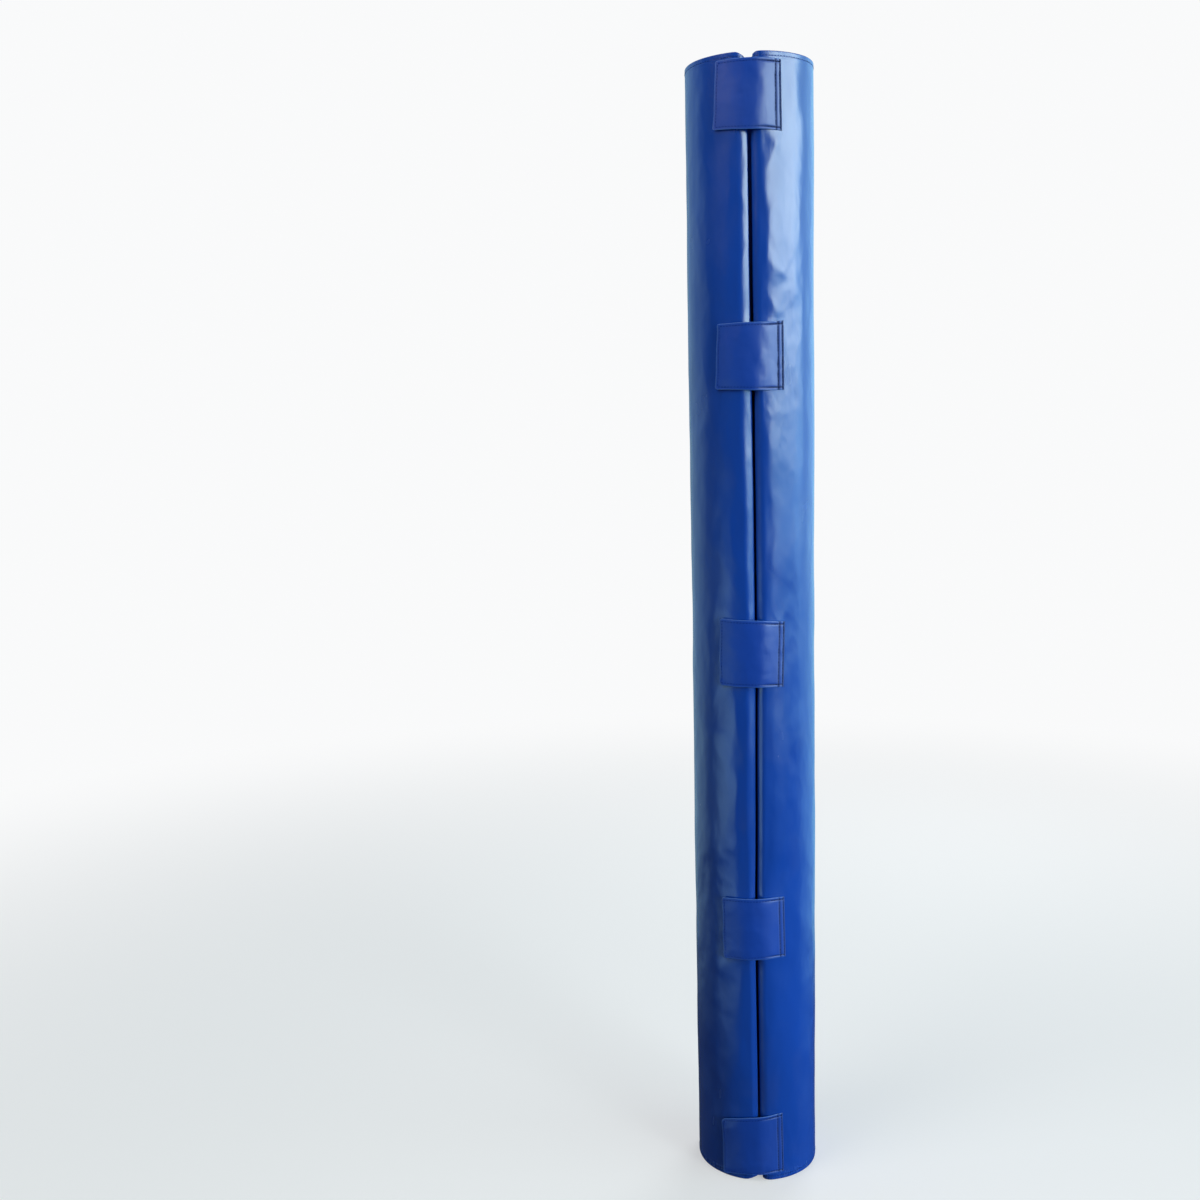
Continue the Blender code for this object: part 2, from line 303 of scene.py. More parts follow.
def curve_between(p0, c0, c1, p1, ts):
    """Cubic curves for all levels at once: points are (levels, 2), the result (levels, ts, 2)."""
    t = ts[None, :, None]
    p0, c0, c1, p1 = (p[:, None, :] for p in (p0, c0, c1, p1))
    return (1 - t) ** 3 * p0 + 3 * (1 - t) ** 2 * t * c0 + 3 * (1 - t) * t ** 2 * c1 + t ** 3 * p1


# A half's sides beside the slit: the lip's outer half, its inner half with the face and half of the
# bore edge, the rest of the bore edge, and the angles at which the lip and the bore edge start
SlitSide = namedtuple("SlitSide", "lip face bore_edge lip_angle edge_angle")


def slit_side(radius, face_x, lip_run, lip_depth, round_out, round_in):
    """The lip, slit face and bore edge of the right-hand half, for all levels."""
    start = np.degrees(np.arcsin((face_x + lip_run) / radius))
    p0 = polar(radius, start)
    a = np.radians(start)
    inward = np.stack([-np.cos(a), -np.sin(a)], axis=-1)
    p1 = np.stack([face_x, lip_depth - np.sqrt(radius ** 2 - face_x ** 2)], axis=-1)
    c0 = p0 + inward * (lip_run * round_out)[:, None]
    c1 = p1 - np.array([0.0, 1.0]) * (lip_depth * round_in)[:, None]
    lip_outer = curve_between(p0, c0, c1, p1, np.linspace(0, 0.5, LIP_STEPS + 1))
    lip_inner = curve_between(p0, c0, c1, p1, np.linspace(0.5, 1, LIP_INNER_STEPS + 1))

    edge_x = face_x + BORE_EDGE_RADIUS
    reach = BORE_RADIUS + BORE_EDGE_RADIUS
    edge_y = -np.sqrt(reach ** 2 - edge_x ** 2)
    edge_angle = np.degrees(np.arcsin(edge_x / reach))
    centre = np.stack([edge_x, edge_y], axis=-1)[:, None, :]

    def edge(shares):
        return centre + polar(BORE_EDGE_RADIUS, -90.0 + (edge_angle - 90.0)[:, None] * shares)

    edge_outer = edge(np.linspace(0, 0.5, EDGE_STEPS + 1))
    edge_inner = edge(np.linspace(0.5, 1, LIP_STEPS + 1))
    share = np.linspace(0, 1, FACE_STEPS + 1)[None, :, None]
    face = p1[:, None, :] * (1 - share) + edge_outer[:, :1] * share
    face = np.concatenate([lip_inner, face[:, 1:], edge_outer[:, 1:]], axis=1)
    return SlitSide(lip_outer, face, edge_inner, start, edge_angle)


def mirrored(points):
    return points * np.array([-1.0, 1.0])


def round_angles(right_start, left_start):
    """Angles from the right lip over the back to the left lip, per level."""
    front = np.linspace(0, 1, FRONT_STEPS + 1)
    right = right_start[:, None] + (FRONT_ANGLE - right_start)[:, None] * front
    back = np.linspace(FRONT_ANGLE, 360.0 - FRONT_ANGLE, BACK_STEPS + 1)[1:-1]
    back = np.broadcast_to(back, (len(right_start), len(back)))
    left = (360.0 - FRONT_ANGLE) + (FRONT_ANGLE - left_start)[:, None] * front
    return np.concatenate([right, back, left], axis=1)


def outline(z):
    """The outline's four sides at each level: outside, left face, bore, right face."""
    press = strap_press(z)
    radius = PAD_RADIUS - STRAP_SQUEEZE * press
    middle, half, left_run = slit_course(z)
    left_run = swayed(left_run, z, LEFT_LIP_SWAYS)
    right_run = swayed(RIGHT_LIP_RUN, z, RIGHT_LIP_SWAYS)
    right_depth = np.full_like(z, RIGHT_LIP_DEPTH)
    right = slit_side(radius, middle + half, right_run, right_depth, *RIGHT_LIP_FULLNESS)
    deep, shallow = LEFT_LIP_DEPTH_SHARES
    high_up = smooth((z - SHALLOW_LIP_FROM) / SHALLOW_LIP_FADE)
    left_depth = left_run * (deep - (deep - shallow) * high_up)
    left = slit_side(radius, half - middle, left_run, left_depth, *LEFT_LIP_FULLNESS)

    angles = round_angles(right.lip_angle, left.lip_angle)
    off_slit = np.minimum(angles, 360.0 - angles)
    loosened = smooth((off_slit - LOOSE_BACK_FROM) / LOOSE_BACK_FADE)
    held_in = press[:, None] * (1.0 - LOOSE_BACK_SHARE * loosened)
    around = polar(PAD_RADIUS - STRAP_SQUEEZE * held_in, angles)
    outer = np.concatenate([right.lip[:, ::-1], around[:, 1:-1], mirrored(left.lip)], axis=1)
    bore_round = polar(BORE_RADIUS, round_angles(right.edge_angle, left.edge_angle))
    bore_edges = right.bore_edge, mirrored(left.bore_edge)[:, ::-1]
    bore = np.concatenate([bore_edges[0], bore_round[:, 1:-1], bore_edges[1]], axis=1)
    return outer, mirrored(left.face), bore, right.face


def outward(loop):
    """Unit normals of closed outlines that run anticlockwise seen from above."""
    along = unit(np.roll(loop, -1, axis=1) - np.roll(loop, 1, axis=1))
    return np.stack([along[..., 1], -along[..., 0]], axis=-1)


def edge_profile(from_end):
    """How far the cover stands out near an end: a rolled rim, a doubled hem, a stitched groove."""
    inside = np.clip(RIM_RADIUS - from_end, 0.0, RIM_RADIUS)
    rolled = np.sqrt(RIM_RADIUS ** 2 - inside ** 2) - RIM_RADIUS
    doubled = HEM_THICK * (1.0 - smooth((from_end - HEM_WIDTH) / HEM_STEP))
    groove = -HEM_GROOVE_DEPTH * bump(from_end, HEM_STITCH_FROM_EDGE, HEM_GROOVE_WIDTH)
    hollow_at = HEM_WIDTH + HEM_HOLLOW_BEHIND
    behind_hem = -HEM_HOLLOW_DEPTH * bump(from_end, hollow_at, HEM_HOLLOW_WIDTH)
    return rolled + doubled + groove + behind_hem


def panel_profile(depth):
    """How far the end panel lies below the rim at a distance from its edge."""
    seam = PANEL_SEAM_DEPTH * bump(depth, PANEL_SEAM_FROM_EDGE, PANEL_SEAM_WIDTH)
    beside = PANEL_HOLLOW_DEPTH * bump(depth, PANEL_HOLLOW_FROM_EDGE, PANEL_HOLLOW_WIDTH)
    return seam + beside


def distance_to_outline(points, loop):
    """Least distance from each point to a closed outline."""
    a, b = loop, np.roll(loop, -1, axis=0)
    ab = b - a
    ap = points[:, None, :] - a[None]
    t = np.clip((ap * ab).sum(-1) / np.maximum((ab * ab).sum(-1), 1e-14), 0, 1)
    return np.linalg.norm(ap - t[..., None] * ab, axis=-1).min(axis=1)


class PadGrid:
    """The pad's skin as rows of points, one closed row a level, with a panel at each end."""

    left_at = U_STEPS
    bore_at = U_STEPS + V_STEPS
    right_at = 2 * U_STEPS + V_STEPS

    def __init__(self):
        self.z = height_levels()
        outer, left, bore, right = outline(self.z)
        sides = [outer[:, :-1], left[:, :-1], bore[:, :0:-1], right[:, :0:-1]]
        self.rows = np.concatenate(sides, axis=1)
        self.levels, self.around = self.rows.shape[:2]
        self.normals = outward(self.rows)
        from_end = from_ends(self.z)
        self.rows = self.rows + self.normals * edge_profile(from_end)[:, None, None]
        # Seam mark along the hem's stitch row, painted shade of its groove with some dirt
        mark = HEM_MARK * bump(from_end, HEM_STITCH_FROM_EDGE, HEM_MARK_WIDTH)
        self.seams = [np.repeat(mark, self.around)]

    def walls(self):
        z = np.broadcast_to(self.z[:, None, None], (self.levels, self.around, 1))
        return np.concatenate([self.rows, z], axis=2)

    def panel(self, level, at_top, first):
        """Inner points and faces of one end panel, joined to its row."""
        row = self.rows[level]
        outside = row[: U_STEPS + 1]
        left_side = row[self.left_at: self.bore_at + 1]
        inside = row[self.bore_at: self.right_at + 1][::-1]
        right_side = np.concatenate([row[self.right_at:], row[:1]])[::-1]
        v = np.linalg.norm(np.diff(right_side, axis=0), axis=1)
        v = (np.concatenate([[0], np.cumsum(v)]) / v.sum())[:, None]
        near_right = np.exp(-np.arange(U_STEPS + 1) / SEAM_FLANK)[:, None, None]
        near_left = near_right[::-1]
        straight = outside[:, None] * (1 - v) + inside[:, None] * v
        bow_right = right_side - (right_side[:1] * (1 - v) + right_side[-1:] * v)
        bow_left = left_side - (left_side[:1] * (1 - v) + left_side[-1:] * v)
        grid = straight + near_right * bow_right[None] + near_left * bow_left[None]
        inner = grid[1:-1, 1:-1].reshape(-1, 2)
        depth = distance_to_outline(inner, row)
        flat = np.column_stack([inner, np.full(len(inner), 3.0 * level)])
        uneven = 1.0 + np.clip(ripple(flat, 0.016, 11), -1, 1)
        puckers = PANEL_PUCKER * uneven * smooth(depth / PANEL_PUCKER_FADE)
        sunk = panel_profile(depth) + puckers
        points = np.column_stack([inner, PAD_HEIGHT - sunk if at_top else sunk])
        # Seam mark beside the panel's seam, painted shade of its groove with some dirt
        self.seams.append(bump(depth, PANEL_SEAM_FROM_EDGE, PANEL_MARK_WIDTH))

        def at(a, b):
            start = level * self.around
            if b == 0:
                return start + a
            if b == V_STEPS:
                return start + self.right_at - a
            if a == 0:
                return start + self.around - b
            if a == U_STEPS:
                return start + self.left_at + b
            return first + (a - 1) * (V_STEPS - 1) + (b - 1)

        faces = []
        for a in range(U_STEPS):
            for b in range(V_STEPS):
                quad = [at(a, b), at(a + 1, b), at(a + 1, b + 1), at(a, b + 1)]
                faces.append(quad if at_top else quad[::-1])
        return points, faces


# Dents, folds and fullness of the cover

# How a crease fades at its ends: over what share of its length, and how much of that lies past its end
CREASE_FADE = 0.35
CREASE_PAST = 0.25


def crease(theta, z, start, end, width, depth):
    """A folded ridge from one (angle, height) to another, fading at its ends. Lengths in metres."""
    a = np.array([math.radians(start[0]) * PAD_RADIUS, start[1]])
    b = np.array([math.radians(end[0]) * PAD_RADIUS, end[1]])
    p = np.stack([np.radians(theta) * PAD_RADIUS, z], axis=-1)
    along = (b - a) / np.linalg.norm(b - a)
    t = (p - a) @ along / np.linalg.norm(b - a)
    side = (p - a) @ np.array([along[1], -along[0]])
    begun, unfinished = (smooth(share / CREASE_FADE + CREASE_PAST) for share in (t, 1.0 - t))
    return depth * (begun * unfinished) * np.exp(-np.abs(side) / width)


# Heights of the cover's waves
LONG_WAVES = 0.00042
SHORT_WAVES = 0.00014
CRUMPLED_WAVES = 0.00030

# Where the cover's flank beside the right lip leans, where it is crumpled and where it is calm:
# turns in degrees from the slit, heights from and to
FLANK_MIDDLE = 17.0
FLANK_REACH = 10.0
CRUMPLED_TURN = 16.0
CRUMPLED_HEIGHTS = (1.38, 1.69)
CALM_TURN = 34.0
CALM_HEIGHTS = (0.50, 1.34)
CALMED = 0.80

# How the cover gets free of a hem and of a strap: no play up to here, and the way to all of it
HEM_HELD = 0.010
HEM_FADE = 0.030
STRAP_HELD = 0.001
STRAP_FADE = 0.016

# Folds in the vinyl: from (angle, height), to (angle, height), width, height of the ridge
CREASES = (
    ((27, 1.684), (14, 1.628), 0.0055, 0.0011),
    ((17, 1.668), (38, 1.610), 0.0070, -0.0006),
    ((13, 1.560), (27, 1.590), 0.0060, 0.0006),
    ((11, 1.500), (34, 1.468), 0.0060, 0.0010),
    ((14, 1.515), (12, 1.585), 0.0060, -0.0005),
    ((16, 1.438), (27, 1.405), 0.0050, 0.0008),
    ((24, 1.450), (40, 1.500), 0.0080, -0.0005),
    ((-6, 1.585), (-16, 1.612), 0.0050, 0.0006),
    ((-5, 1.520), (-14, 1.500), 0.0060, -0.0005),
    ((20, 1.298), (11, 1.250), 0.0070, 0.0006),
    ((-20, 0.836), (-15, 0.740), 0.0100, 0.0007),
    ((-14, 0.700), (-20, 0.600), 0.0120, 0.0006),
    ((-33, 0.840), (-45, 0.800), 0.0080, 0.0004),
    ((29, 0.942), (37, 0.985), 0.0070, 0.0005),
    ((30, 0.838), (40, 0.800), 0.0070, 0.0004),
    ((-32, 1.405), (-42, 1.440), 0.0080, 0.0005),
    ((29, 1.300), (40, 1.262), 0.0080, 0.0005),
    ((-31, 0.388), (-41, 0.350), 0.0080, 0.0004),
    ((28, 0.490), (38, 0.530), 0.0080, 0.0004),
    ((150, 1.740), (175, 1.700), 0.0100, 0.0005),
    ((200, 1.250), (230, 1.215), 0.0120, 0.0005),
    ((160, 0.700), (135, 0.660), 0.0120, 0.0005),
    ((190, 0.300), (215, 0.340), 0.0120, 0.0005),
)


def cover_relief(theta, z, points):
    """Height of the cover's folds and waves over its even round, where it isn't held down."""
    turn = from_slit(theta)
    low = ripple(points, 0.070, 1, (1.0, 1.0, 0.42))
    fine = ripple(points, 0.028, 2, (1.0, 1.0, 0.60))
    low_end, high_end = CRUMPLED_HEIGHTS
    crumpled = bump(turn, CRUMPLED_TURN, 16.0) * smooth((z - low_end) / 0.05)
    crumpled = crumpled * smooth((high_end - z) / 0.03)
    height = LONG_WAVES * low + SHORT_WAVES * fine + CRUMPLED_WAVES * crumpled * fine
    lean = np.interp(z, *np.array(FLANK_LEAN).T, left=0.0, right=0.0)
    across = (turn - FLANK_MIDDLE) / FLANK_REACH
    run = math.radians(FLANK_REACH) * PAD_RADIUS
    height = height - np.tan(np.radians(lean)) * run * across * np.exp(-across ** 2)
    for start, end, width, depth in CREASES:
        side = turn if abs(start[0]) < 90 else theta
        height = height + crease(side, z, start, end, width, depth)
    return height


def calm_share(theta, z):
    """How much of the folds and waves is left, less on the right below the second strap."""
    low_end, high_end = CALM_HEIGHTS
    right_side = bump(from_slit(theta), CALM_TURN, 26.0)
    return 1.0 - CALMED * right_side * smooth((z - low_end) / 0.20) * smooth((high_end - z) / 0.08)


def free_share(theta, z):
    """0 where the cover is held down by a strap, tape or hem, 1 where it is free."""
    free = smooth((from_ends(z) - HEM_HELD) / HEM_FADE)
    for centre, strap_turn in STRAPS:
        over = np.abs(z - centre) - STRAP_TALL / 2
        turn = from_slit(theta) - strap_turn
        beside = np.maximum(STRAP_FREE_END - turn, turn - STRAP_SEWN_END)
        away = np.maximum(over, np.radians(beside) * PAD_RADIUS)
        free = free * smooth((away - STRAP_HELD) / STRAP_FADE)
    return free


# The stuffed cover, by a cloth simulation of its outside

SKIN_OVERLAP = LIP_INNER_STEPS
BEND_COLUMN = LIP_STEPS + FRONT_STEPS + 18
BACK_HALF_ANGLE = 33.0
FULLEST = 0.0006
DEEPEST = -0.0005
FIRST_WAVES = 0.0004
SETTLED_FRAME = 20
LINING_SLACK = 0.0004
LINING_HELD = 0.012
LINING_FADE = 0.03


def stuffed(grid):
    """How far pressure from inside pushes the outside of the cover, along its normals."""
    columns = np.arange(-SKIN_OVERLAP, U_STEPS + SKIN_OVERLAP + 1)
    skin_points = grid.walls()[:, columns]
    normals = grid.normals[:, columns]
    levels, across = skin_points.shape[:2]
    start = skin_points.reshape(-1, 3).copy()
    waves = ripple(start, 0.035, 5, (1.0, 1.0, 0.5)) * FIRST_WAVES
    start[:, :2] += normals.reshape(-1, 2) * waves[:, None]
    cloth_skin = mesh_object("cloth_skin", start, grid_faces(levels, across))

    held = 1.0 - free_share(angle_of(skin_points), skin_points[..., 2])
    held[:, :3] = held[:, -3:] = 1.0
    held[:2] = held[-2:] = 1.0
    pins = cloth_skin.vertex_groups.new(name="held")
    weights = np.round(held.ravel(), 2)
    for value in np.unique(weights):
        if value > 0.02:
            pins.add(np.flatnonzero(weights == value).tolist(), float(value), "REPLACE")

    cloth = cloth_skin.modifiers.new("cloth", "CLOTH")
    settings = cloth.settings
    settings.quality = 4
    settings.mass = 0.25
    settings.tension_stiffness = 18
    settings.compression_stiffness = 18
    settings.shear_stiffness = 9
    settings.bending_stiffness = 0.8
    settings.tension_damping = settings.compression_damping = 8
    settings.air_damping = 3
    settings.shrink_min = -0.004
    settings.use_pressure = True
    settings.uniform_pressure_force = 1.6
    settings.vertex_group_mass = "held"
    settings.pin_stiffness = 1.2
    settings.effector_weights.gravity = 0
    cloth.point_cache.frame_start = 1
    cloth.point_cache.frame_end = SETTLED_FRAME
    for frame_number in range(1, SETTLED_FRAME + 1):
        scene.frame_set(frame_number)
    graph = bpy.context.evaluated_depsgraph_get()
    settled = read_points(cloth_skin.evaluated_get(graph).data).reshape(levels, across, 3)
    bpy.data.objects.remove(cloth_skin, do_unlink=True)
    scene.frame_set(1)
    moved = ((settled - skin_points)[..., :2] * normals).sum(-1)
    return columns, eased(moved - np.median(moved), 5, 2)


def eased(field, up, across):
    """The field averaged over neighbours, so that its waves are long up the pad and short across."""
    for reach, axis in ((up, 0), (across, 1)):
        padding = [(reach, reach) if a == axis else (0, 0) for a in range(2)]
        wide = np.pad(field, padding, mode="edge")
        window = np.lib.stride_tricks.sliding_window_view(wide, 2 * reach + 1, axis=axis)
        field = window.mean(-1)
    return field


def fill_pad():
    """The pad's whole skin, filled, folded and subdivided, and the grid that it was made from."""
    grid = PadGrid()
    points = grid.walls()
    theta, z = angle_of(points), points[..., 2]
    outside = np.zeros(grid.around)
    outside[: U_STEPS + 1] = 1.0
    fade = np.linspace(1, 0, LIP_INNER_STEPS + 2)[1:-1]
    outside[U_STEPS + 1: U_STEPS + 1 + LIP_INNER_STEPS] = fade
    outside[-LIP_INNER_STEPS:] = fade[::-1]

    push = np.zeros((grid.levels, grid.around))
    columns, moved = stuffed(grid)
    push[:, columns] = np.clip(moved, DEEPEST, FULLEST)
    chosen = np.flatnonzero(outside > 0)
    push[:, chosen] += cover_relief(theta[:, chosen], z[:, chosen], points[:, chosen])
    push *= outside[None, :] * free_share(theta, z) * calm_share(theta, z)

    lining = np.flatnonzero(outside == 0)
    slack = ripple(points[:, lining], 0.045, 8, (1.0, 1.0, 0.4))
    ends = smooth((from_ends(grid.z) - LINING_HELD) / LINING_FADE)
    push[:, lining] = -LINING_SLACK * (slack + 0.5) * ends[:, None]
    grid.rows = grid.rows + grid.normals * push[..., None]

    points = grid.walls().reshape(-1, 3)
    low_points, low_faces = grid.panel(0, False, len(points))
    high_points, high_faces = grid.panel(grid.levels - 1, True, len(points) + len(low_points))
    faces = grid_faces(grid.levels, grid.around, closed=True).tolist() + low_faces + high_faces
    points = round_slit_corners(np.concatenate([points, low_points, high_points]))
    pad = mesh_object("pad", points, faces)
    share = pad.data.attributes.new("part", "INT", "FACE")
    share.data.foreach_set("value", face_parts(grid.levels))
    set_attribute(pad.data, "seam", np.concatenate(grid.seams))
    return subdivided(pad), grid


def face_parts(levels):
    """Which piece each face goes to, 0 right, 1 back and 2 left, in the order that faces are made."""
    outside = np.full(U_STEPS, 1)
    outside[:BEND_COLUMN] = 0
    outside[U_STEPS - BEND_COLUMN:] = 2
    row = np.concatenate([outside, np.full(V_STEPS, 2), outside[::-1], np.full(V_STEPS, 0)])
    panel = np.repeat(outside, V_STEPS)
    return np.concatenate([np.tile(row, levels - 1), panel, panel]).astype(np.int32)


def cut_walls(points, faces):
    """Triangles that close the flat openings of a cut skin."""
    start = faces.ravel().astype(np.int64)
    end = np.roll(faces, -1, axis=1).ravel().astype(np.int64)
    rim = ~np.isin(end * len(points) + start, start * len(points) + end)
    start, end = start[rim], end[rim]
    walls = []
    for side in (-1.0, 1.0):
        here = points[start, 0] * side > 0
        if not here.any():
            continue
        used, edges = np.unique(np.stack([start[here], end[here]], axis=1), return_inverse=True)
        edges = edges.reshape(-1, 2)
        on_wall = points[used]
        outward_way = unit(on_wall[np.argmax(np.hypot(on_wall[:, 0], on_wall[:, 1])), :2])
        flat = [Vector((p[:2] @ outward_way, p[2])) for p in on_wall]
        _corners, _edges, filled, sources, *_more = delaunay_2d_cdt(flat, edges.tolist(), [], 1, 1e-9)
        triangles = [[int(used[sources[corner][0]]) for corner in face] for face in filled]
        with_rim = {(t[i], t[i - 2]) for t in triangles for i in range(3)}
        if (int(start[here][0]), int(end[here][0])) in with_rim:
            triangles = [t[::-1] for t in triangles]
        walls += triangles
    return walls


def cut_apart(whole, names):
    """Closed pieces of the finished skin, which meet in flat walls and keep its smooth shading."""
    data = whole.data
    part = read(data.attributes["part"].data, "value", kind=np.int32)
    corners = read(data.loops, "vertex_index", kind=np.int32).reshape(-1, 4)
    shading = read(data.corner_normals, "vector", 3).reshape(-1, 4, 3)
    seam = read(data.attributes["seam"].data, "value")
    all_points = read_points(data)
    pieces = []
    for number, name in enumerate(names):
        used, faces = np.unique(corners[part == number], return_inverse=True)
        faces = faces.reshape(-1, 4)
        points = all_points[used]
        walls = cut_walls(points, faces)
        piece = mesh_object(name, points, faces.tolist() + walls, materials["cover"])
        set_attribute(piece.data, "seam", seam[used])
        normals = shading[part == number].reshape(-1, 3).tolist()
        for a, b, c in walls:
            flat = np.cross(points[b] - points[a], points[c] - points[a])
            normals += [unit(flat).tolist()] * 3
        piece.data.normals_split_custom_set(normals)
        pieces.append(piece)
    bpy.data.objects.remove(whole, do_unlink=True)
    return pieces


# How the lips' corners are rounded: side of the slit, how far along the end, how deep
LIP_CORNERS = ((-1.0, 0.019, 0.0070), (1.0, 0.008, 0.0024))
LOW_CORNER_SHARE = 0.7
CORNER_TALL = 0.035
CORNER_FLAT = 0.003
SLIT_MIDDLE_X = -0.0005
SLIT_REACH = 0.0035
LIP_FRONT = 0.040
LIP_FRONT_FADE = 0.030


def round_slit_corners(points):
    """Lets the lips' top and bottom corners drop away from the ends."""
    points = points.copy()
    x, y, z = points.T
    front = smooth((-y - LIP_FRONT) / LIP_FRONT_FADE)
    for side, reach, drop in LIP_CORNERS:
        for at_top in (True, False):
            from_end = PAD_HEIGHT - z if at_top else z
            aside = np.where(x * side > -SLIT_REACH, np.abs(x - SLIT_MIDDLE_X), 1.0)
            share = (1.0 - smooth((aside - CORNER_FLAT) / reach)) * front
            share = share * (1.0 - smooth(from_end / CORNER_TALL))
            way = 1.0 if at_top else -LOW_CORNER_SHARE
            z = z - share * drop * way * np.where(x * side > 0, 1.0, 0.0)
    points[:, 2] = z
    return points


# Materials

FACET_SMOOTHNESS = 0.45
FACET_BOTTOM = 0.15
SCUFFED = (0.10, 0.17, 0.42)
# Lighter blue mixed in by the edge mark: a painted highlight along the straps' edges, with some wear
EDGE_LIGHT_AND_WEAR = (0.065, 0.18, 0.55)
# Navy mixed in by the seam mark: painted shade of the stitch grooves and seams, with some dirt
SEAM_SHADE_AND_DIRT = (0.0012, 0.007, 0.055)
LOW_END_SCUFFED = 0.028
HIGH_END_SCUFFED = 0.010

# Radians in a metre of Blender's wave pattern at scale 1
WAVE_RADIANS = 20.0

# The vinyl's uneven places: size, detail, distortion, and the noise at which they start and are full
PATCHES = (0.16, 3.0, 0.0, 0.35, 0.65)
RUBBED = (0.050, 2.0, 0.6, 0.50, 0.76)
SCUFFS = (0.0070, 2.0, 0.0, 0.48, 0.82)
HANDLED = (0.12, 1.0, 0.0, 0.42, 0.60)

# The vinyl's relief from folds to grain: size and depth
FOLD_FACETS = (0.034, 0.0011)
HANDLED_FACETS = (0.014, 0.00050)
CRUMPLES = (0.017, 0.00040)
WEAVE = (0.0011, 0.000006)
GRAIN = (0.00085, 0.000025)


class Wiring:
    """Short ways to add and join the nodes of a tree."""

    def __init__(self, tree):
        self.nodes, self.links = tree.nodes, tree.links

    def put(self, socket, value):
        """Sets a socket's value, or joins it to another node's socket."""
        if isinstance(value, bpy.types.NodeSocket):
            self.links.new(value, socket)
        else:
            socket.default_value = value

    def add(self, kind, inputs=(), **settings):
        node = self.nodes.new(kind)
        for key, value in settings.items():
            setattr(node, key, value)
        for socket, value in dict(inputs).items():
            self.put(node.inputs[socket], value)
        return node

    def math(self, operation, *values):
        return self.add("ShaderNodeMath", enumerate(values), operation=operation).outputs[0]

    def rise(self, value, low, high, least=0.0):
        """Rises smoothly from the least to 1 between a low and a high value."""
        inputs = {"Value": value, "From Min": low, "From Max": high, "To Min": least}
        node = self.add("ShaderNodeMapRange", inputs, interpolation_type="SMOOTHSTEP")
        return node.outputs["Result"]


class Finish(Wiring):
    """A material whose patterns are in metres on the object."""

    def __init__(self, name, **surface):
        self.material = bpy.data.materials.new(name)
        self.material.use_nodes = True
        super().__init__(self.material.node_tree)
        self.shader = self.nodes["Principled BSDF"]
        for socket, value in surface.items():
            self.shader.inputs[socket.replace("_", " ")].default_value = value
        self.place = self.add("ShaderNodeTexCoord").outputs["Object"]
        self.normal = None

    def scaled(self, *scale):
        inputs = {"Vector": self.place, "Scale": scale}
        return self.add("ShaderNodeMapping", inputs).outputs["Vector"]

    def cloud(self, size, detail=2.0, place=None, distortion=0.0):
        """Noise whose lumps have the given size."""
        inputs = {"Vector": place or self.place, "Scale": 1.0 / size, "Detail": detail,
                  "Distortion": distortion}
        return self.add("ShaderNodeTexNoise", inputs).outputs["Fac"]

    def places(self, marks, place):
        """Where marks of a kind show, 0 to 1."""
        size, detail, distortion, start, full = marks
        return self.between(self.cloud(size, detail, place, distortion), start, full)

    def cells(self, size, place):
        inputs = {"Vector": place, "Scale": 1.0 / size}
        return self.add("ShaderNodeTexVoronoi", inputs).outputs["Distance"]

    def facets(self, size, place):
        """Flat-sided hollows with round bottoms, as vinyl keeps after it has been folded."""
        inputs = {"Vector": place, "Scale": 1.0 / size, "Smoothness": FACET_SMOOTHNESS}
        deep = self.add("ShaderNodeTexVoronoi", inputs, feature="SMOOTH_F1").outputs["Distance"]
        return self.math("SMOOTH_MAX", deep, FACET_BOTTOM, FACET_BOTTOM)

    def warped(self, size, amount, place=None):
        """The place pushed about by soft noise."""
        inputs = {"Vector": place or self.place, "Scale": 1.0 / size, "Detail": 1.0}
        push = self.add("ShaderNodeTexNoise", inputs).outputs["Color"]
        inputs = {0: push, 1: (amount,) * 3, 2: place or self.place}
        return self.add("ShaderNodeVectorMath", inputs, operation="MULTIPLY_ADD").outputs[0]

    def between(self, value, low, high, to_low=0.0, to_high=1.0):
        inputs = {"Value": value, "From Min": low, "From Max": high, "To Min": to_low,
                  "To Max": to_high}
        return self.add("ShaderNodeMapRange", inputs).outputs["Result"]

    def mixed(self, share, first, second):
        inputs = {0: share, 6: (*first, 1.0) if isinstance(first, tuple) else first,
                  7: (*second, 1.0) if isinstance(second, tuple) else second}
        return self.add("ShaderNodeMix", inputs, data_type="RGBA").outputs[2]

    def marked(self, name):
        """The value of a mark that the mesh carries, such as where its seams run."""
        return self.add("ShaderNodeAttribute", attribute_name=name).outputs["Fac"]

    def raised(self, height, depth):
        """Adds a pattern of the given depth to the surface."""
        inputs = {"Height": height, "Distance": depth, "Strength": 1.0}
        if self.normal:
            inputs["Normal"] = self.normal
        self.normal = self.add("ShaderNodeBump", inputs).outputs["Normal"]

    def done(self, colour, roughness):
        self.put(self.shader.inputs["Base Color"], colour)
        self.put(self.shader.inputs["Roughness"], roughness)
        if self.normal:
            self.put(self.shader.inputs["Normal"], self.normal)
        return self.material


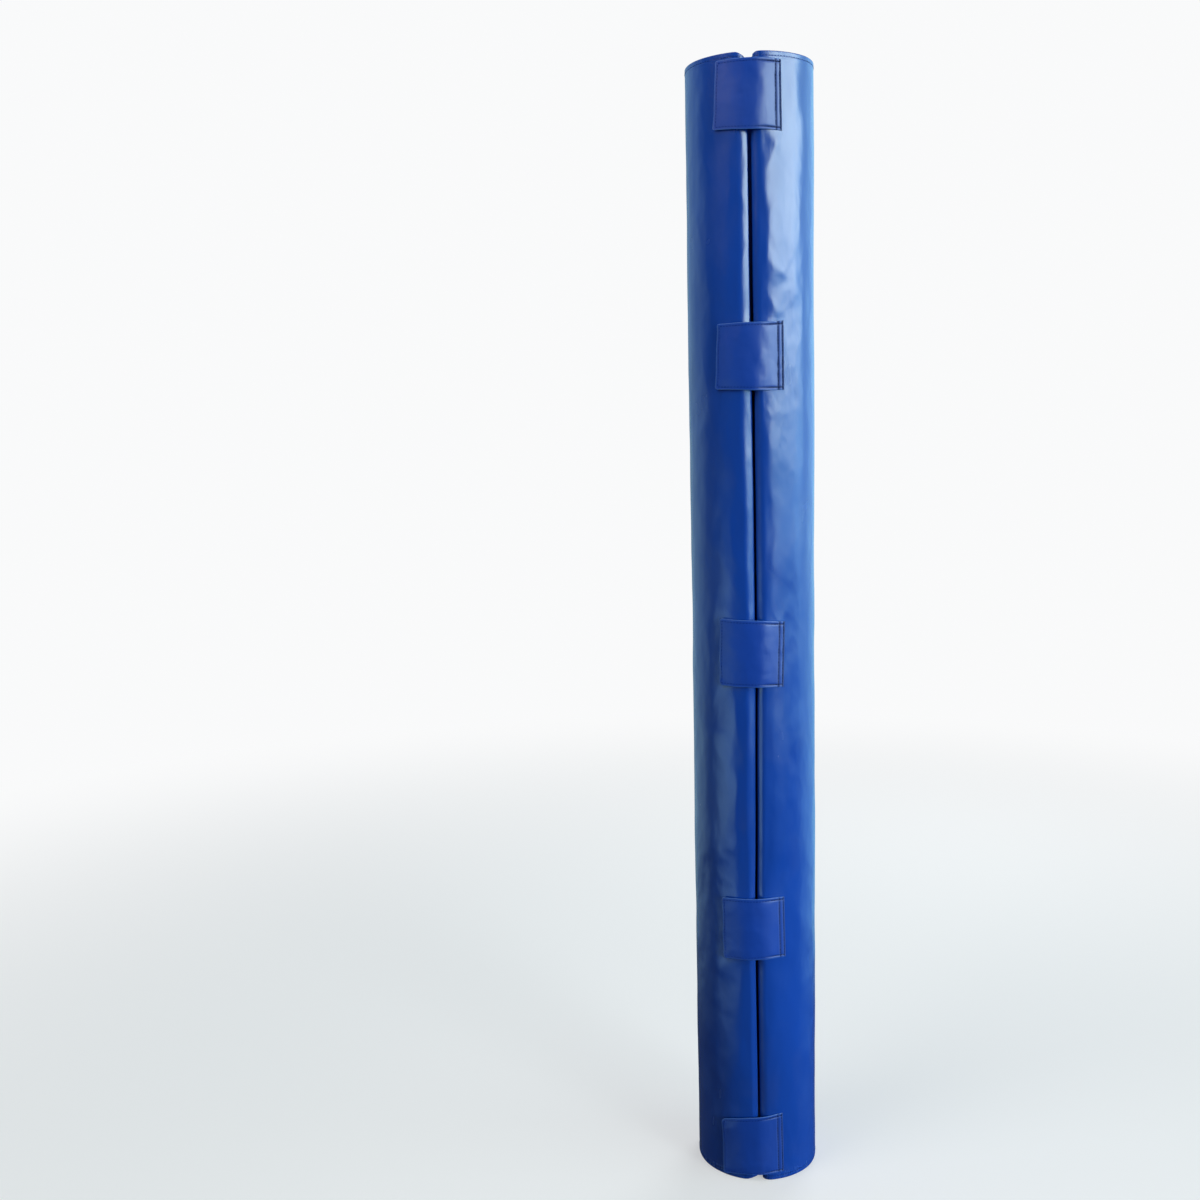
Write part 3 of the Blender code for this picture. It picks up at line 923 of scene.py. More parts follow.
def coated_vinyl(name, colour, gloss, crumple, **surface):
    """Blue PVC on a woven ground: fine grain, soft crumples, rubbed and faded places."""
    look = Finish(name, Specular_IOR_Level=0.9, **surface)
    tall = look.scaled(1.0, 1.0, 0.45)
    rubbed = look.places(RUBBED, tall)
    height = look.add("ShaderNodeSeparateXYZ", {0: look.place}).outputs["Z"]
    low_end = look.between(height, LOW_END_SCUFFED, 0.0)
    high_end = look.between(height, PAD_HEIGHT - HIGH_END_SCUFFED, PAD_HEIGHT)
    ends = look.math("ADD", low_end, high_end)
    worn_end = look.math("MULTIPLY", ends, look.places(SCUFFS, look.scaled(1.0, 1.0, 0.30)))

    darker = tuple(0.86 * c for c in colour)
    faded = tuple(0.72 * c + 0.035 for c in colour)
    colours = look.mixed(look.places(PATCHES, tall), colour, darker)
    # The last two marks paint light and shade: the edge mark a painted highlight with some wear, the seam
    # mark painted shade with some dirt
    for mark, share, tint in (
        (rubbed, 0.16, faded), (worn_end, 0.16, SCUFFED),
        (look.marked("edge_light_and_wear"), 0.80, EDGE_LIGHT_AND_WEAR), (look.marked("seam"), 0.85, SEAM_SHADE_AND_DIRT),
    ):
        colours = look.mixed(look.math("MULTIPLY", mark, share), colours, tint)

    rough = look.between(rubbed, 0.0, 1.0, gloss, gloss + 0.06)
    for mark, share in ((look.marked("seam"), 0.45), (worn_end, 0.20)):
        rough = look.math("ADD", rough, look.math("MULTIPLY", mark, share))
    add_vinyl_relief(look, tall, crumple)
    return look.done(colours, rough)


def add_vinyl_relief(look, tall, crumple):
    """What bends the gloss, from the folds that are left in the sheet down to its grain."""
    size, depth = FOLD_FACETS
    look.raised(look.facets(size, look.warped(0.030, 0.020, tall)), depth * crumple)
    size, depth = HANDLED_FACETS
    small = look.facets(size, look.warped(0.014, 0.009, tall))
    look.raised(look.math("MULTIPLY", small, look.places(HANDLED, tall)), depth * crumple)
    size, depth = CRUMPLES
    look.raised(look.cloud(size, 1.0, look.scaled(1.0, 1.0, 0.6), 0.1), depth * crumple)
    pitch, depth = WEAVE
    look.raised(look.math("ADD", threads(look, "X", pitch), threads(look, "Z", pitch)), depth)
    size, depth = GRAIN
    look.raised(look.cells(size, look.warped(0.002, 0.0008)), depth)


def threads(look, direction, pitch):
    """Even ridges across one direction, a pitch apart."""
    scale = 2.0 * math.pi / WAVE_RADIANS / pitch
    inputs = {"Vector": look.place, "Scale": scale, "Distortion": 0.0}
    wave = look.add("ShaderNodeTexWave", inputs, wave_type="BANDS", bands_direction=direction)
    return wave.outputs["Fac"]


def sewing_thread(name, dark, pale):
    """Twisted thread, dull and a little uneven in colour."""
    look = Finish(name, Specular_IOR_Level=0.15)
    strands = look.cloud(0.00035, 1.0, look.scaled(1.0, 1.0, 0.5))
    look.raised(strands, 0.00008)
    colour = look.mixed(look.between(strands, 0.35, 0.65), dark, pale)
    return look.done(colour, look.between(strands, 0.3, 0.7, 0.60, 0.80))


def woven_tape(name, dark, pale):
    """The nylon ground of the hook and loop tapes."""
    look = Finish(name, Specular_IOR_Level=0.35, Sheen_Weight=0.25, Sheen_Roughness=0.5)
    weave = look.math("MAXIMUM", threads(look, "X", 0.0009), threads(look, "Z", 0.0007))
    weave = look.math("ADD", weave, look.math("MULTIPLY", look.cloud(0.004), 0.4))
    look.raised(weave, 0.00018)
    colour = look.mixed(look.between(weave, 0.4, 1.2), dark, pale)
    return look.done(colour, look.between(weave, 0.3, 1.2, 0.75, 0.50))


def nylon_pile(name, dark, pale, **surface):
    """The tapes' hooks or loops."""
    look = Finish(name, **surface)
    strands = look.cloud(0.0022, 3.0)
    look.raised(look.cloud(0.0003, 1.0), 0.00003)
    colour = look.mixed(look.between(strands, 0.35, 0.65), dark, pale)
    return look.done(colour, look.between(strands, 0.3, 0.7, 0.35, 0.6))


materials = {
    "cover": coated_vinyl(
        "cover_vinyl", (0.0046, 0.057, 0.38), 0.22, 1.0, Coat_Weight=0.05, Coat_Roughness=0.12,
    ),
    "strap": coated_vinyl("strap_vinyl", (0.0055, 0.055, 0.39), 0.36, 0.8),
    # Navy thread, darker than the strap, paints part of the shade that falls in the sewn rows
    "navy_shade_thread": sewing_thread("navy_shade_thread", (0.0008, 0.0030, 0.020), (0.002, 0.009, 0.055)),
    "blue_thread": sewing_thread("blue_thread", (0.0025, 0.020, 0.140), (0.006, 0.042, 0.270)),
    "tape": woven_tape("tape_weave", (0.003, 0.004, 0.010), (0.010, 0.013, 0.028)),
    "hooks": nylon_pile(
        "hook_pile", (0.006, 0.008, 0.016), (0.020, 0.024, 0.040), Specular_IOR_Level=0.6,
    ),
    "loops": nylon_pile(
        "loop_pile", (0.004, 0.006, 0.014), (0.014, 0.018, 0.036),
        Sheen_Weight=0.4, Sheen_Roughness=0.4,
    ),
}


# Stitches and tape pile, repeated by Geometry Nodes

STITCH_LONG = 0.0036
STITCH_PITCH = 0.0048
STITCH_WIDE = 0.0010
STITCH_PROBE = 0.0008
PILE_PITCH = 0.0020
PILE_TALL = 0.0011
PILE_WIDE = 0.00026
STITCH_TILT = 0.06
PILE_TILT = 0.35
HOOK_SWEEP = 130.0
LOOP_SWEEP = 180.0
UNEVEN_SIZE = (0.88, 1.08)
TILT_SEED = 7
SIZE_SEED = 3


def start_tree(name, *sizes):
    """An empty tree with a shape's sizes and its finish as named inputs."""
    tree = bpy.data.node_groups.new(name, "GeometryNodeTree")
    tree.interface.new_socket("Points", in_out="INPUT", socket_type="NodeSocketGeometry")
    for label in sizes:
        tree.interface.new_socket(label, in_out="INPUT", socket_type="NodeSocketFloat")
    tree.interface.new_socket("Finish", in_out="INPUT", socket_type="NodeSocketMaterial")
    tree.interface.new_socket("Geometry", in_out="OUTPUT", socket_type="NodeSocketGeometry")
    wiring = Wiring(tree)

    def add(kind, inputs=(), **settings):
        return wiring.add(kind, inputs, **settings).outputs

    return tree, add("NodeGroupInput"), add


def on_every_point(given, add, shape, tilt):
    """Puts the shape on every point, turned as the point says, with small uneven tilts and sizes."""
    turn = add("GeometryNodeInputNamedAttribute", {"Name": "turn"}, data_type="QUATERNION")["Attribute"]
    inputs = {"Points": given["Points"], "Instance": shape, "Rotation": turn}
    placed = add("GeometryNodeInstanceOnPoints", inputs)["Instances"]
    inputs = {0: (-tilt,) * 3, 1: (tilt,) * 3, "Seed": TILT_SEED}
    tilts = add("FunctionNodeRandomValue", inputs, data_type="FLOAT_VECTOR")[0]
    tilts = add("FunctionNodeEulerToRotation", {0: tilts})[0]
    inputs = {"Instances": placed, "Rotation": tilts, "Local Space": True}
    placed = add("GeometryNodeRotateInstances", inputs)["Instances"]
    smallest, largest = UNEVEN_SIZE
    inputs = {2: smallest, 3: largest, "Seed": SIZE_SEED}
    size = add("FunctionNodeRandomValue", inputs, data_type="FLOAT")[1]
    placed = add("GeometryNodeScaleInstances", {"Instances": placed, "Scale": size})["Instances"]
    whole = add("GeometryNodeRealizeInstances", {"Geometry": placed})["Geometry"]
    coloured = add("GeometryNodeSetMaterial", {"Geometry": whole, "Material": given["Finish"]})
    smooth_shaded = add("GeometryNodeSetShadeSmooth", {0: coloured["Geometry"]})
    add("NodeGroupOutput", {"Geometry": smooth_shaded[0]})


def half(add, size):
    return add("ShaderNodeMath", {0: size, 1: 0.5}, operation="MULTIPLY")[0]


def stitch_tree():
    """A short round stitch that sinks into the vinyl at both ends."""
    tree, given, add = start_tree("stitches", "Length", "Width")
    bead = add("GeometryNodeMeshUVSphere", {"Segments": 6, "Rings": 6, "Radius": 1.0})["Mesh"]
    wide = half(add, given["Width"])
    size = add("ShaderNodeCombineXYZ", {"X": wide, "Y": wide, "Z": half(add, given["Length"])})[0]
    inputs = {"Geometry": bead, "Rotation": (0.0, math.pi / 2, 0.0), "Scale": size}
    on_every_point(given, add, add("GeometryNodeTransform", inputs)["Geometry"], STITCH_TILT)
    return tree


def pile_tree():
    """A tiny arch of nylon that stands on the tape, whole on loops and cut short on hooks."""
    tree, given, add = start_tree("pile", "Height", "Width", "Sweep")
    inputs = {"Resolution": 5, "Radius": half(add, given["Height"]), "Start Angle": 0.0,
              "Sweep Angle": given["Sweep"]}
    arch = add("GeometryNodeCurveArc", inputs, mode="RADIUS")["Curve"]
    inputs = {"Resolution": 3, "Radius": half(add, given["Width"])}
    ring = add("GeometryNodeCurvePrimitiveCircle", inputs, mode="RADIUS")["Curve"]
    inputs = {"Curve": arch, "Profile Curve": ring, "Fill Caps": True}
    strand = add("GeometryNodeCurveToMesh", inputs)["Mesh"]
    inputs = {"Geometry": strand, "Rotation": (math.pi / 2, 0.0, 0.0), "Scale": (0.8, 1.0, 1.5)}
    on_every_point(given, add, add("GeometryNodeTransform", inputs)["Geometry"], PILE_TILT)
    return tree


def repeated(name, tree, places, across, upward, finish, **sizes):
    """A plain mesh of the tree's shape on every place, its length across and its back upward."""
    data = bpy.data.meshes.new(name)
    data.from_pydata(places.tolist(), [], [])
    side = unit(np.cross(upward, across))
    turns = [
        tuple(Matrix(axes.tolist()).to_quaternion())
        for axes in np.stack([np.cross(side, upward), side, upward], axis=-1)
    ]
    turn = data.attributes.new("turn", "QUATERNION", "POINT")
    turn.data.foreach_set("value", np.array(turns, np.float32).ravel())
    thing = bpy.data.objects.new(name, data)
    scene.collection.objects.link(thing)
    modifier = thing.modifiers.new("repeat", "NODES")
    modifier.node_group = tree
    inputs = {item.name: item.identifier for item in tree.interface.items_tree if item.in_out == "INPUT"}
    for label, value in {**sizes, "Finish": finish}.items():
        modifier[inputs[label]] = value
    return baked(thing)


def spaced(path):
    """Middles of stitches laid end to end along a path, and the way that each one runs."""
    reach = np.concatenate([[0], np.cumsum(np.linalg.norm(np.diff(path, axis=0), axis=1))])
    count = max(round(reach[-1] / STITCH_PITCH), 1)

    def at(distance):
        return np.stack([np.interp(distance, reach, axis) for axis in path.T], axis=1)

    middle = (np.arange(count) + 0.5) / count * reach[-1]
    return at(middle), unit(at(middle + STITCH_PROBE) - at(middle - STITCH_PROBE))


# Straps and their tapes

STRAP_LONG = 0.105
STRAP_ANGLE = STRAP_SEWN_END - STRAP_FREE_END
CUT_ANGLE = 14.0
SEWN_ROWS = (0.0026, 0.0098)
EDGE_ROW = 0.0042
EDGE_ROW_WIDTH = 0.0011
EDGE_ROW_DEPTH = 0.10
TIGHT_TO = 0.020
TIGHT_FADE = 0.030
SEWN_ROW_WIDTH = 0.0014
SEWN_ROW_DEPTH = 1.1
SEWN_ROW_UNEVEN = 0.25
ROW_WANDER = 0.0003
PUCKER_WIDTH = 0.0026
LIFT_BLEND = (24.5, 19.5)
PEEL_BLEND = (9.0, 3.0)
EDGE_STEPS_IN = (0.0, 0.00012, 0.0004, 0.0009, 0.0018, 0.0030, 0.0039, 0.0046, 0.0053, 0.0062)
ROOT_STEP = 0.0016
FLAP_STEP = 0.0024
HEIGHT_STEP = 0.0020
SEAM_DIP = 0.00065
STRAP_WAVES = (0.00050, 0.00012)
LOOSE_FROM = 0.012
LOOSE_FADE = 0.02
STRAP_PILLOW = 0.00035
PILLOW_FADE = 0.012
FREE_END_LONG = 0.014
FREE_END_LIFT = 0.0007
FREE_CORNER_FROM = 0.7
FREE_CORNER_LIFT = 0.0008
DEEPEST_WAVE = 0.0002
# Width of the painted highlight, with some wear, along a strap's edges
EDGE_LIGHT_WIDTH = 0.0016
# Width and fade of the painted shadow along a strap's sewn end
SEWN_END_SHADOW = 0.0006
SEWN_END_SHADOW_FADE = 0.0010
STITCH_CLEAR = 0.00018
ROW_START = 0.0010
ROW_CORNER_LEAST = 0.0006
PILE_MARGIN = 0.0018
PILE_END_MARGIN = 0.0012
TAPE_EDGE_STEPS = (0.0002, 0.001)
TAPE_EDGE_ROUND = 0.98

# Radii of a strap's inner and outer face where it is sewn on, and their rise towards the free end
STRAP_SEWN_RADII = (0.0988, 0.1004)
STRAP_FREE_RISE = (0.0030, 0.0032)
RISE_ANGLE = 20.5

# Each strap as it was cut and sewn: dip of its top edge, bow of its bottom edge, radii of its free
# corners at the top and the bottom, height of the puckers in its seam, painted shade and dirt that its seams
# hold
StrapCut = namedtuple("StrapCut", "dip bow corners pucker dirt")
STRAP_CUTS = (
    StrapCut(-0.0015, 0.0003, (0.0030, 0.0035), 0.00010, 1.00),
    StrapCut(0.0004, 0.0012, (0.0030, 0.0045), 0.00034, 1.00),
    StrapCut(-0.0006, 0.0004, (0.0050, 0.0055), 0.00034, 0.80),
    StrapCut(-0.0016, -0.0008, (0.0045, 0.0060), 0.00016, 0.55),
    StrapCut(-0.0036, -0.0026, (0.0080, 0.0050), 0.00014, 0.45),
)

# How far each strap's corners lie from an even strap's, along it and up: sewn end's top and bottom,
# free end's top and bottom
STRAP_CORNERS = (
    ((0.0017, 0.0043), (0.0003, 0.0013), (-0.0027, 0.0046), (0.0030, 0.0056)),
    ((-0.0007, 0.0022), (-0.0016, -0.0025), (-0.0009, 0.0000), (0.0042, 0.0008)),
    ((-0.0014, 0.0000), (0.0016, -0.0045), (0.0003, 0.0060), (0.0019, -0.0018)),
    ((0.0028, 0.0019), (0.0007, 0.0000), (0.0023, -0.0010), (0.0007, -0.0038)),
    ((0.0002, 0.0050), (-0.0018, 0.0010), (0.0002, -0.0105), (-0.0034, -0.0060)),
)


def along_strap(degrees):
    """How far an angle lies from the strap's sewn end."""
    return (STRAP_SEWN_END - degrees) / STRAP_ANGLE * STRAP_LONG


def strap_steps(first, last, fine_first, fine_last, step):
    """Distances between two ends, close together at those that are an edge."""
    fine = np.array(EDGE_STEPS_IN)
    head = first + fine if fine_first else np.array([first])
    tail = last - fine[::-1] if fine_last else np.array([last])
    count = max(round((tail[0] - head[-1]) / step), 1)
    return np.concatenate([head, np.linspace(head[-1], tail[0], count + 1)[1:-1], tail])


def from_cut_edge(number, s, t):
    """Distance to the strap's top, bottom and free edges."""
    top, bottom = STRAP_CUTS[number].corners
    r = np.where(t > 0, top, bottom)
    qx, qy = s - (STRAP_LONG - r), np.abs(t) - (STRAP_TALL / 2 - r)
    return r - np.hypot(np.maximum(qx, 0), np.maximum(qy, 0)) - np.minimum(np.maximum(qx, qy), 0)


def as_cut(number, s, t):
    """Angle and height of a point of the even strap as the real one was cut and sewn on."""
    dip, bow = STRAP_CUTS[number].dip, STRAP_CUTS[number].bow
    centre, turn = STRAPS[number]
    share, h = s / STRAP_LONG, t / (STRAP_TALL / 2)
    weights = ((1 - share) * (1 + h), (1 - share) * (1 - h), share * (1 + h), share * (1 - h))
    along, up = (
        sum(weight * corner[axis] for weight, corner in zip(weights, STRAP_CORNERS[number])) / 2
        for axis in range(2)
    )
    s, t = s + along, t + up
    s = s + 0.0004 * np.sin(h * 4.0 + number) * share ** 4
    arc = np.sin(np.pi * np.clip(share, 0, 1))
    t = t - np.maximum(h, 0) ** 3 * dip * arc - np.maximum(-h, 0) ** 3 * bow * arc
    t = t + 0.0003 * np.abs(h) ** 3 * np.sin(share * 9.0 + 2.0 * number)
    return STRAP_SEWN_END - STRAP_ANGLE * s / STRAP_LONG + turn, centre + t


def strap_faces(number, s, t):
    """Points of the strap's outer and inner face, and its marks of painted seam shade and of a painted edge
    highlight with some wear.
    """
    cut = from_cut_edge(number, s, t)
    edge = np.maximum(np.minimum(cut, s), 0.0)
    angle = STRAP_SEWN_END - STRAP_ANGLE * s / STRAP_LONG
    rise = smooth((LIFT_BLEND[0] - angle) / RISE_ANGLE)
    inner, outer = (r + more * rise for r, more in zip(STRAP_SEWN_RADII, STRAP_FREE_RISE))
    roll = (outer - inner) / 2
    rolled = roll - np.sqrt(np.maximum(roll ** 2 - np.maximum(roll - edge, 0) ** 2, 0))

    flat = np.stack([s, t, np.full_like(s, 0.31 * number)], axis=-1)
    uneven = ripple(flat, 0.0065, 31, (0.0, 1.0, 1.0))
    tight = 1.0 - smooth((s - TIGHT_TO) / TIGHT_FADE)
    rows = bump(cut, EDGE_ROW, EDGE_ROW_WIDTH) * (EDGE_ROW_DEPTH + (1.0 - EDGE_ROW_DEPTH) * tight)
    for row in SEWN_ROWS:
        dip = bump(s, row + ROW_WANDER * uneven, SEWN_ROW_WIDTH)
        rows = np.maximum(rows, dip * (SEWN_ROW_DEPTH + SEWN_ROW_UNEVEN * uneven))
    between_rows = bump(s, sum(SEWN_ROWS) / 2, PUCKER_WIDTH)
    puckers = STRAP_CUTS[number].pucker * between_rows * (1.0 + uneven)
    loose = smooth((s - LOOSE_FROM) / LOOSE_FADE)
    waves = ripple(flat, 0.024, 21)
    small = ripple(flat, 0.010, 22, (1.0, 1.4, 1.0))
    wave = loose * (STRAP_WAVES[0] * waves + STRAP_WAVES[1] * small)
    free = smooth((s - (STRAP_LONG - FREE_END_LONG)) / FREE_END_LONG)
    corner = smooth((np.abs(t) / (STRAP_TALL / 2) - FREE_CORNER_FROM) / 0.3)
    wave = wave + FREE_END_LIFT * free ** 2 + FREE_CORNER_LIFT * free * corner * loose
    wave = np.maximum(wave, -DEEPEST_WAVE)
    pillow = STRAP_PILLOW * smooth((cut - EDGE_ROW) / PILLOW_FADE) * loose

    degrees, z = as_cut(number, s, t)
    outer = outer + wave + pillow + puckers - rolled - SEAM_DIP * rows
    inner = np.minimum(inner + wave + rolled, outer)
    faces = [standing(polar(r, degrees), z) for r in (outer, inner)]
    faces[1][edge <= 0] = faces[0][edge <= 0]
    # A painted shadow along the sewn end's edge, carried by the seam mark
    sewn_end_shadow = 1.0 - smooth((s - SEWN_END_SHADOW) / SEWN_END_SHADOW_FADE)
    # A painted highlight, with some wear, along the top, bottom and free edges
    edge_light_and_wear = np.clip(1.0 - edge / EDGE_LIGHT_WIDTH, 0, 1) * (1.0 - sewn_end_shadow)
    # The seam mark paints shade in the stitch grooves and along the sewn end, with some dirt
    dirt = np.clip(np.maximum(rows, sewn_end_shadow), 0, 1) * STRAP_CUTS[number].dirt
    return faces[0], faces[1], dirt, edge_light_and_wear


def closed_sheet(name, outer, inner, open_first, open_last, material, marks=()):
    """A thin closed sheet from the grids of its two faces, whose edges meet except at a cut end."""
    columns, rows = outer.shape[:2]
    inside = np.ones((columns, rows), bool)
    inside[:, [0, -1]] = False
    inside[0] &= open_first
    inside[-1] &= open_last
    front = np.arange(columns * rows).reshape(columns, rows)
    back = front.copy()
    back[inside] = columns * rows + np.arange(inside.sum())
    points = np.concatenate([outer.reshape(-1, 3), inner[inside]])

    def quads(at):
        return np.stack([at[:-1, :-1], at[1:, :-1], at[1:, 1:], at[:-1, 1:]], axis=-1).reshape(-1, 4)

    faces = quads(front).tolist() + quads(back)[:, ::-1].tolist()
    ends = []
    if open_first:
        ends.append((back[0], front[0]))
    if open_last:
        ends.append((front[-1], back[-1]))
    walls = []
    for a, b in ends:
        for i in range(rows - 1):
            wall = [a[i], b[i], b[i + 1], a[i + 1]]
            walls.append([v for n, v in enumerate(wall) if v != wall[n - 1]])
    sheet = mesh_object(name, points, faces + walls, material)
    for label, values in marks:
        set_attribute(sheet.data, label, np.concatenate([values.ravel(), values[inside]]))
    if walls:
        shell = bmesh.new()
        shell.from_mesh(sheet.data)
        shell.faces.ensure_lookup_table()
        for face in shell.faces[-len(walls):]:
            for edge in face.edges:
                edge.smooth = False
        shell.to_mesh(sheet.data)
        shell.free()
    return sheet


def strap_rows(number):
    """Paths of the strap's stitch rows: round its loose edges, then down its sewn end."""
    top, bottom = (max(r - EDGE_ROW, ROW_CORNER_LEAST) for r in STRAP_CUTS[number].corners)
    far, high = STRAP_LONG - EDGE_ROW, STRAP_TALL / 2 - EDGE_ROW
    turn = np.radians(np.linspace(90, 0, 7))
    corner = np.stack([np.cos(turn), np.sin(turn)], axis=1)
    path = np.concatenate([
        [(ROW_START, high)],
        np.array([far - top, high - top]) + top * corner,
        np.array([far - bottom, bottom - high]) + bottom * corner[::-1] * np.array([1, -1]),
        [(ROW_START, -high)],
    ])
    side = STRAP_TALL / 2 - ROW_START
    return [path] + [np.array([(row, side), (row, -side)]) for row in SEWN_ROWS]


def make_strap(number):
    """The strap in two pieces that meet at the cut angle, and their stitches."""
    title = f"strap_{number + 1}"
    high, low = STRAP_CUTS[number].corners
    t = -strap_steps(-STRAP_TALL / 2, STRAP_TALL / 2, True, True, HEIGHT_STEP)
    cut = along_strap(CUT_ANGLE)
    root = strap_steps(0.0, cut, True, False, ROOT_STEP)
    flap = strap_steps(cut, STRAP_LONG, False, True, FLAP_STEP)
    pieces = []
    for part, s in (("root", root), ("flap", flap)):
        into_corner = [np.clip(s - (STRAP_LONG - r), 0, r) for r in (high, low)]
        reach = [STRAP_TALL / 2 - r + np.sqrt(r * r - c * c) for r, c in zip((high, low), into_corner)]
        scale = np.where(t[None] > 0, reach[0][:, None], reach[1][:, None]) / (STRAP_TALL / 2)
        ss = np.broadcast_to(s[:, None], scale.shape)
        outer, inner, seam, edge_light_and_wear = strap_faces(number, ss, t[None] * scale)
        pieces.append(closed_sheet(
            f"{title}_{part}", outer, inner, part == "flap", part == "root", materials["strap"],
            (("seam", seam), ("edge_light_and_wear", edge_light_and_wear)),
        ))

    places, ways = (np.concatenate(rows) for rows in zip(*(spaced(path) for path in strap_rows(number))))
    middle, ahead, aside = (
        strap_faces(number, *(places + shift).T)[0]
        for shift in (np.zeros(2), ways * STITCH_PROBE, ways[:, ::-1] * (STITCH_PROBE, -STITCH_PROBE))
    )
    upward = unit(np.cross(ahead - middle, aside - middle))
    upward *= np.sign((upward[:, :2] * middle[:, :2]).sum(-1))[:, None]
    # The sewn end's rows get the navy thread as painted shade, the rest of the rows the blue thread
    for piece, chosen, thread in zip(
        list(pieces), (places[:, 0] < cut, places[:, 0] >= cut), ("navy_shade_thread", "blue_thread"),
    ):
        pieces.append(repeated(
            f"{piece.name}_stitches", trees["stitch"], (middle + upward * STITCH_CLEAR)[chosen],
            (ahead - middle)[chosen], upward[chosen], materials[thread],
            Length=STITCH_LONG, Width=STITCH_WIDE,
        ))
    bridge, tab = f"bridge_{number + 1}", f"tab_{number + 1}"
    bends = (("right_half", bridge, LIFT_BLEND), (bridge, tab, PEEL_BLEND))
    for piece, (first, second, (start, end)) in zip(pieces, bends * 2):
        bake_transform(piece)
    return pieces


def tape_steps(first, last, count):
    """Even distances between two ends, with two more close to each end for the tape's edge."""
    near, far = TAPE_EDGE_STEPS
    even = np.linspace(first + far, last - far, count)
    return np.concatenate([[first, first + near], even, [last - near, last]])


def make_tape(number, name, node, radii, body, finish, faces_out, sweep):
    """A tape's woven ground and the pile that stands on its face."""
    first, last = along_strap(TAPE_INNER_END), along_strap(TAPE_OUTER_END)
    s, t = np.meshgrid(
        tape_steps(first, last, 16), -tape_steps(-TAPE_TALL / 2, TAPE_TALL / 2, 32), indexing="ij",
    )
    degrees, z = as_cut(number, s, t)
    edge = np.minimum(np.minimum(s - first, last - s), TAPE_TALL / 2 - np.abs(t))
    roll = (radii[1] - radii[0]) / 2
    rolled = np.maximum(roll - edge, 0) * TAPE_EDGE_ROUND
    outer, inner = (standing(polar(r, degrees), z) for r in (radii[1] - rolled, radii[0] + rolled))
    outer[edge <= 0] = inner[edge <= 0] = ((outer + inner) / 2)[edge <= 0]
    ground = closed_sheet(f"strap_{number + 1}_{name}_tape", outer, inner, False, False, materials["tape"])

    s, t = (
        np.arange(start + PILE_MARGIN, end - PILE_END_MARGIN, PILE_PITCH)
        for start, end in ((first, last), (-TAPE_TALL / 2, TAPE_TALL / 2))
    )
    s, t = np.meshgrid(s, t)
    t = t + 0.5 * PILE_PITCH * (np.arange(s.shape[1]) % 2)
    degrees, z = as_cut(number, s.ravel(), t.ravel())
    out = standing(polar(1.0, degrees), np.zeros(len(z)))
    places = standing(polar(radii[1] if faces_out else radii[0], degrees), z)
    upward = out if faces_out else -out
    across = np.tile([0.0, 0.0, 1.0], (len(z), 1))
    pile = repeated(
        f"strap_{number + 1}_{name}s", trees["pile"], places, across, upward, finish,
        Height=PILE_TALL, Width=PILE_WIDE, Sweep=math.radians(sweep),
    )
    for piece in (ground, pile):
        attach(piece, body)
    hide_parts(node)
    return ground, pile


# Stitches of the pad

def make_pad_stitches(grid, surface):
    """Rows round both hems and both end panels, as places, ways and normals."""
    tree = BVHTree.FromObject(surface, bpy.context.evaluated_depsgraph_get())
    found = []
    for at_top in (False, True):
        height = PAD_HEIGHT - HEM_STITCH_FROM_EDGE if at_top else HEM_STITCH_FROM_EDGE
        level = int(np.argmin(np.abs(grid.z - height)))
        hem = standing(grid.rows[level], np.full(grid.around, height))
        end = -1 if at_top else 0
        inset = grid.rows[end] - grid.normals[end] * PANEL_STITCH_FROM_EDGE
        least = PANEL_STITCH_FROM_EDGE - PANEL_STITCH_SPARE
        clear = distance_to_outline(inset, grid.rows[end]) > least
        panel = standing(inset, np.full(grid.around, PAD_HEIGHT if at_top else 0.0))[clear]
        for path in (hem, panel):
            for place, way in zip(*spaced(np.concatenate([path, path[:1]]))):
                spot, normal, _face, _distance = tree.find_nearest(Vector(place))
                found.append((spot + normal * 0.0001, way, normal))
    places, ways, normals = (np.array([tuple(row[i]) for row in found]) for i in range(3))
    return places, ways, normals


# The pieces

trees = {"stitch": stitch_tree(), "pile": pile_tree()}

whole_pad, pad_grid = fill_pad()
stitch_places, stitch_ways, stitch_normals = make_pad_stitches(pad_grid, whole_pad)
pad_right, pad_back, pad_left = cut_apart(whole_pad, ("pad_right", "pad_back", "pad_left"))
from_back = 180.0 - angle_of(stitch_places)
behind = np.abs(from_back) < BACK_HALF_ANGLE
for piece, chosen in (
    (pad_right, (from_back > 0) & ~behind), (pad_back, behind), (pad_left, (from_back < 0) & ~behind),
):
    stitches = repeated(
        piece.name.replace("pad", "stitches"), trees["stitch"], stitch_places[chosen],
        stitch_ways[chosen], stitch_normals[chosen], materials["blue_thread"],
        Length=STITCH_LONG, Width=STITCH_WIDE,
    )
    for thing in (piece, stitches):
        if piece is pad_back:
            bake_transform(thing)
        else:
            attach(thing, "right_half" if piece is pad_right else "left_half")
for side, piece in (("left", pad_left), ("right", pad_right)):
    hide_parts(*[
        f"{side}_{part}" for part in ("foam_core", "outer_cover", "bore_lining", "top_panel", "bottom_panel")
    ])

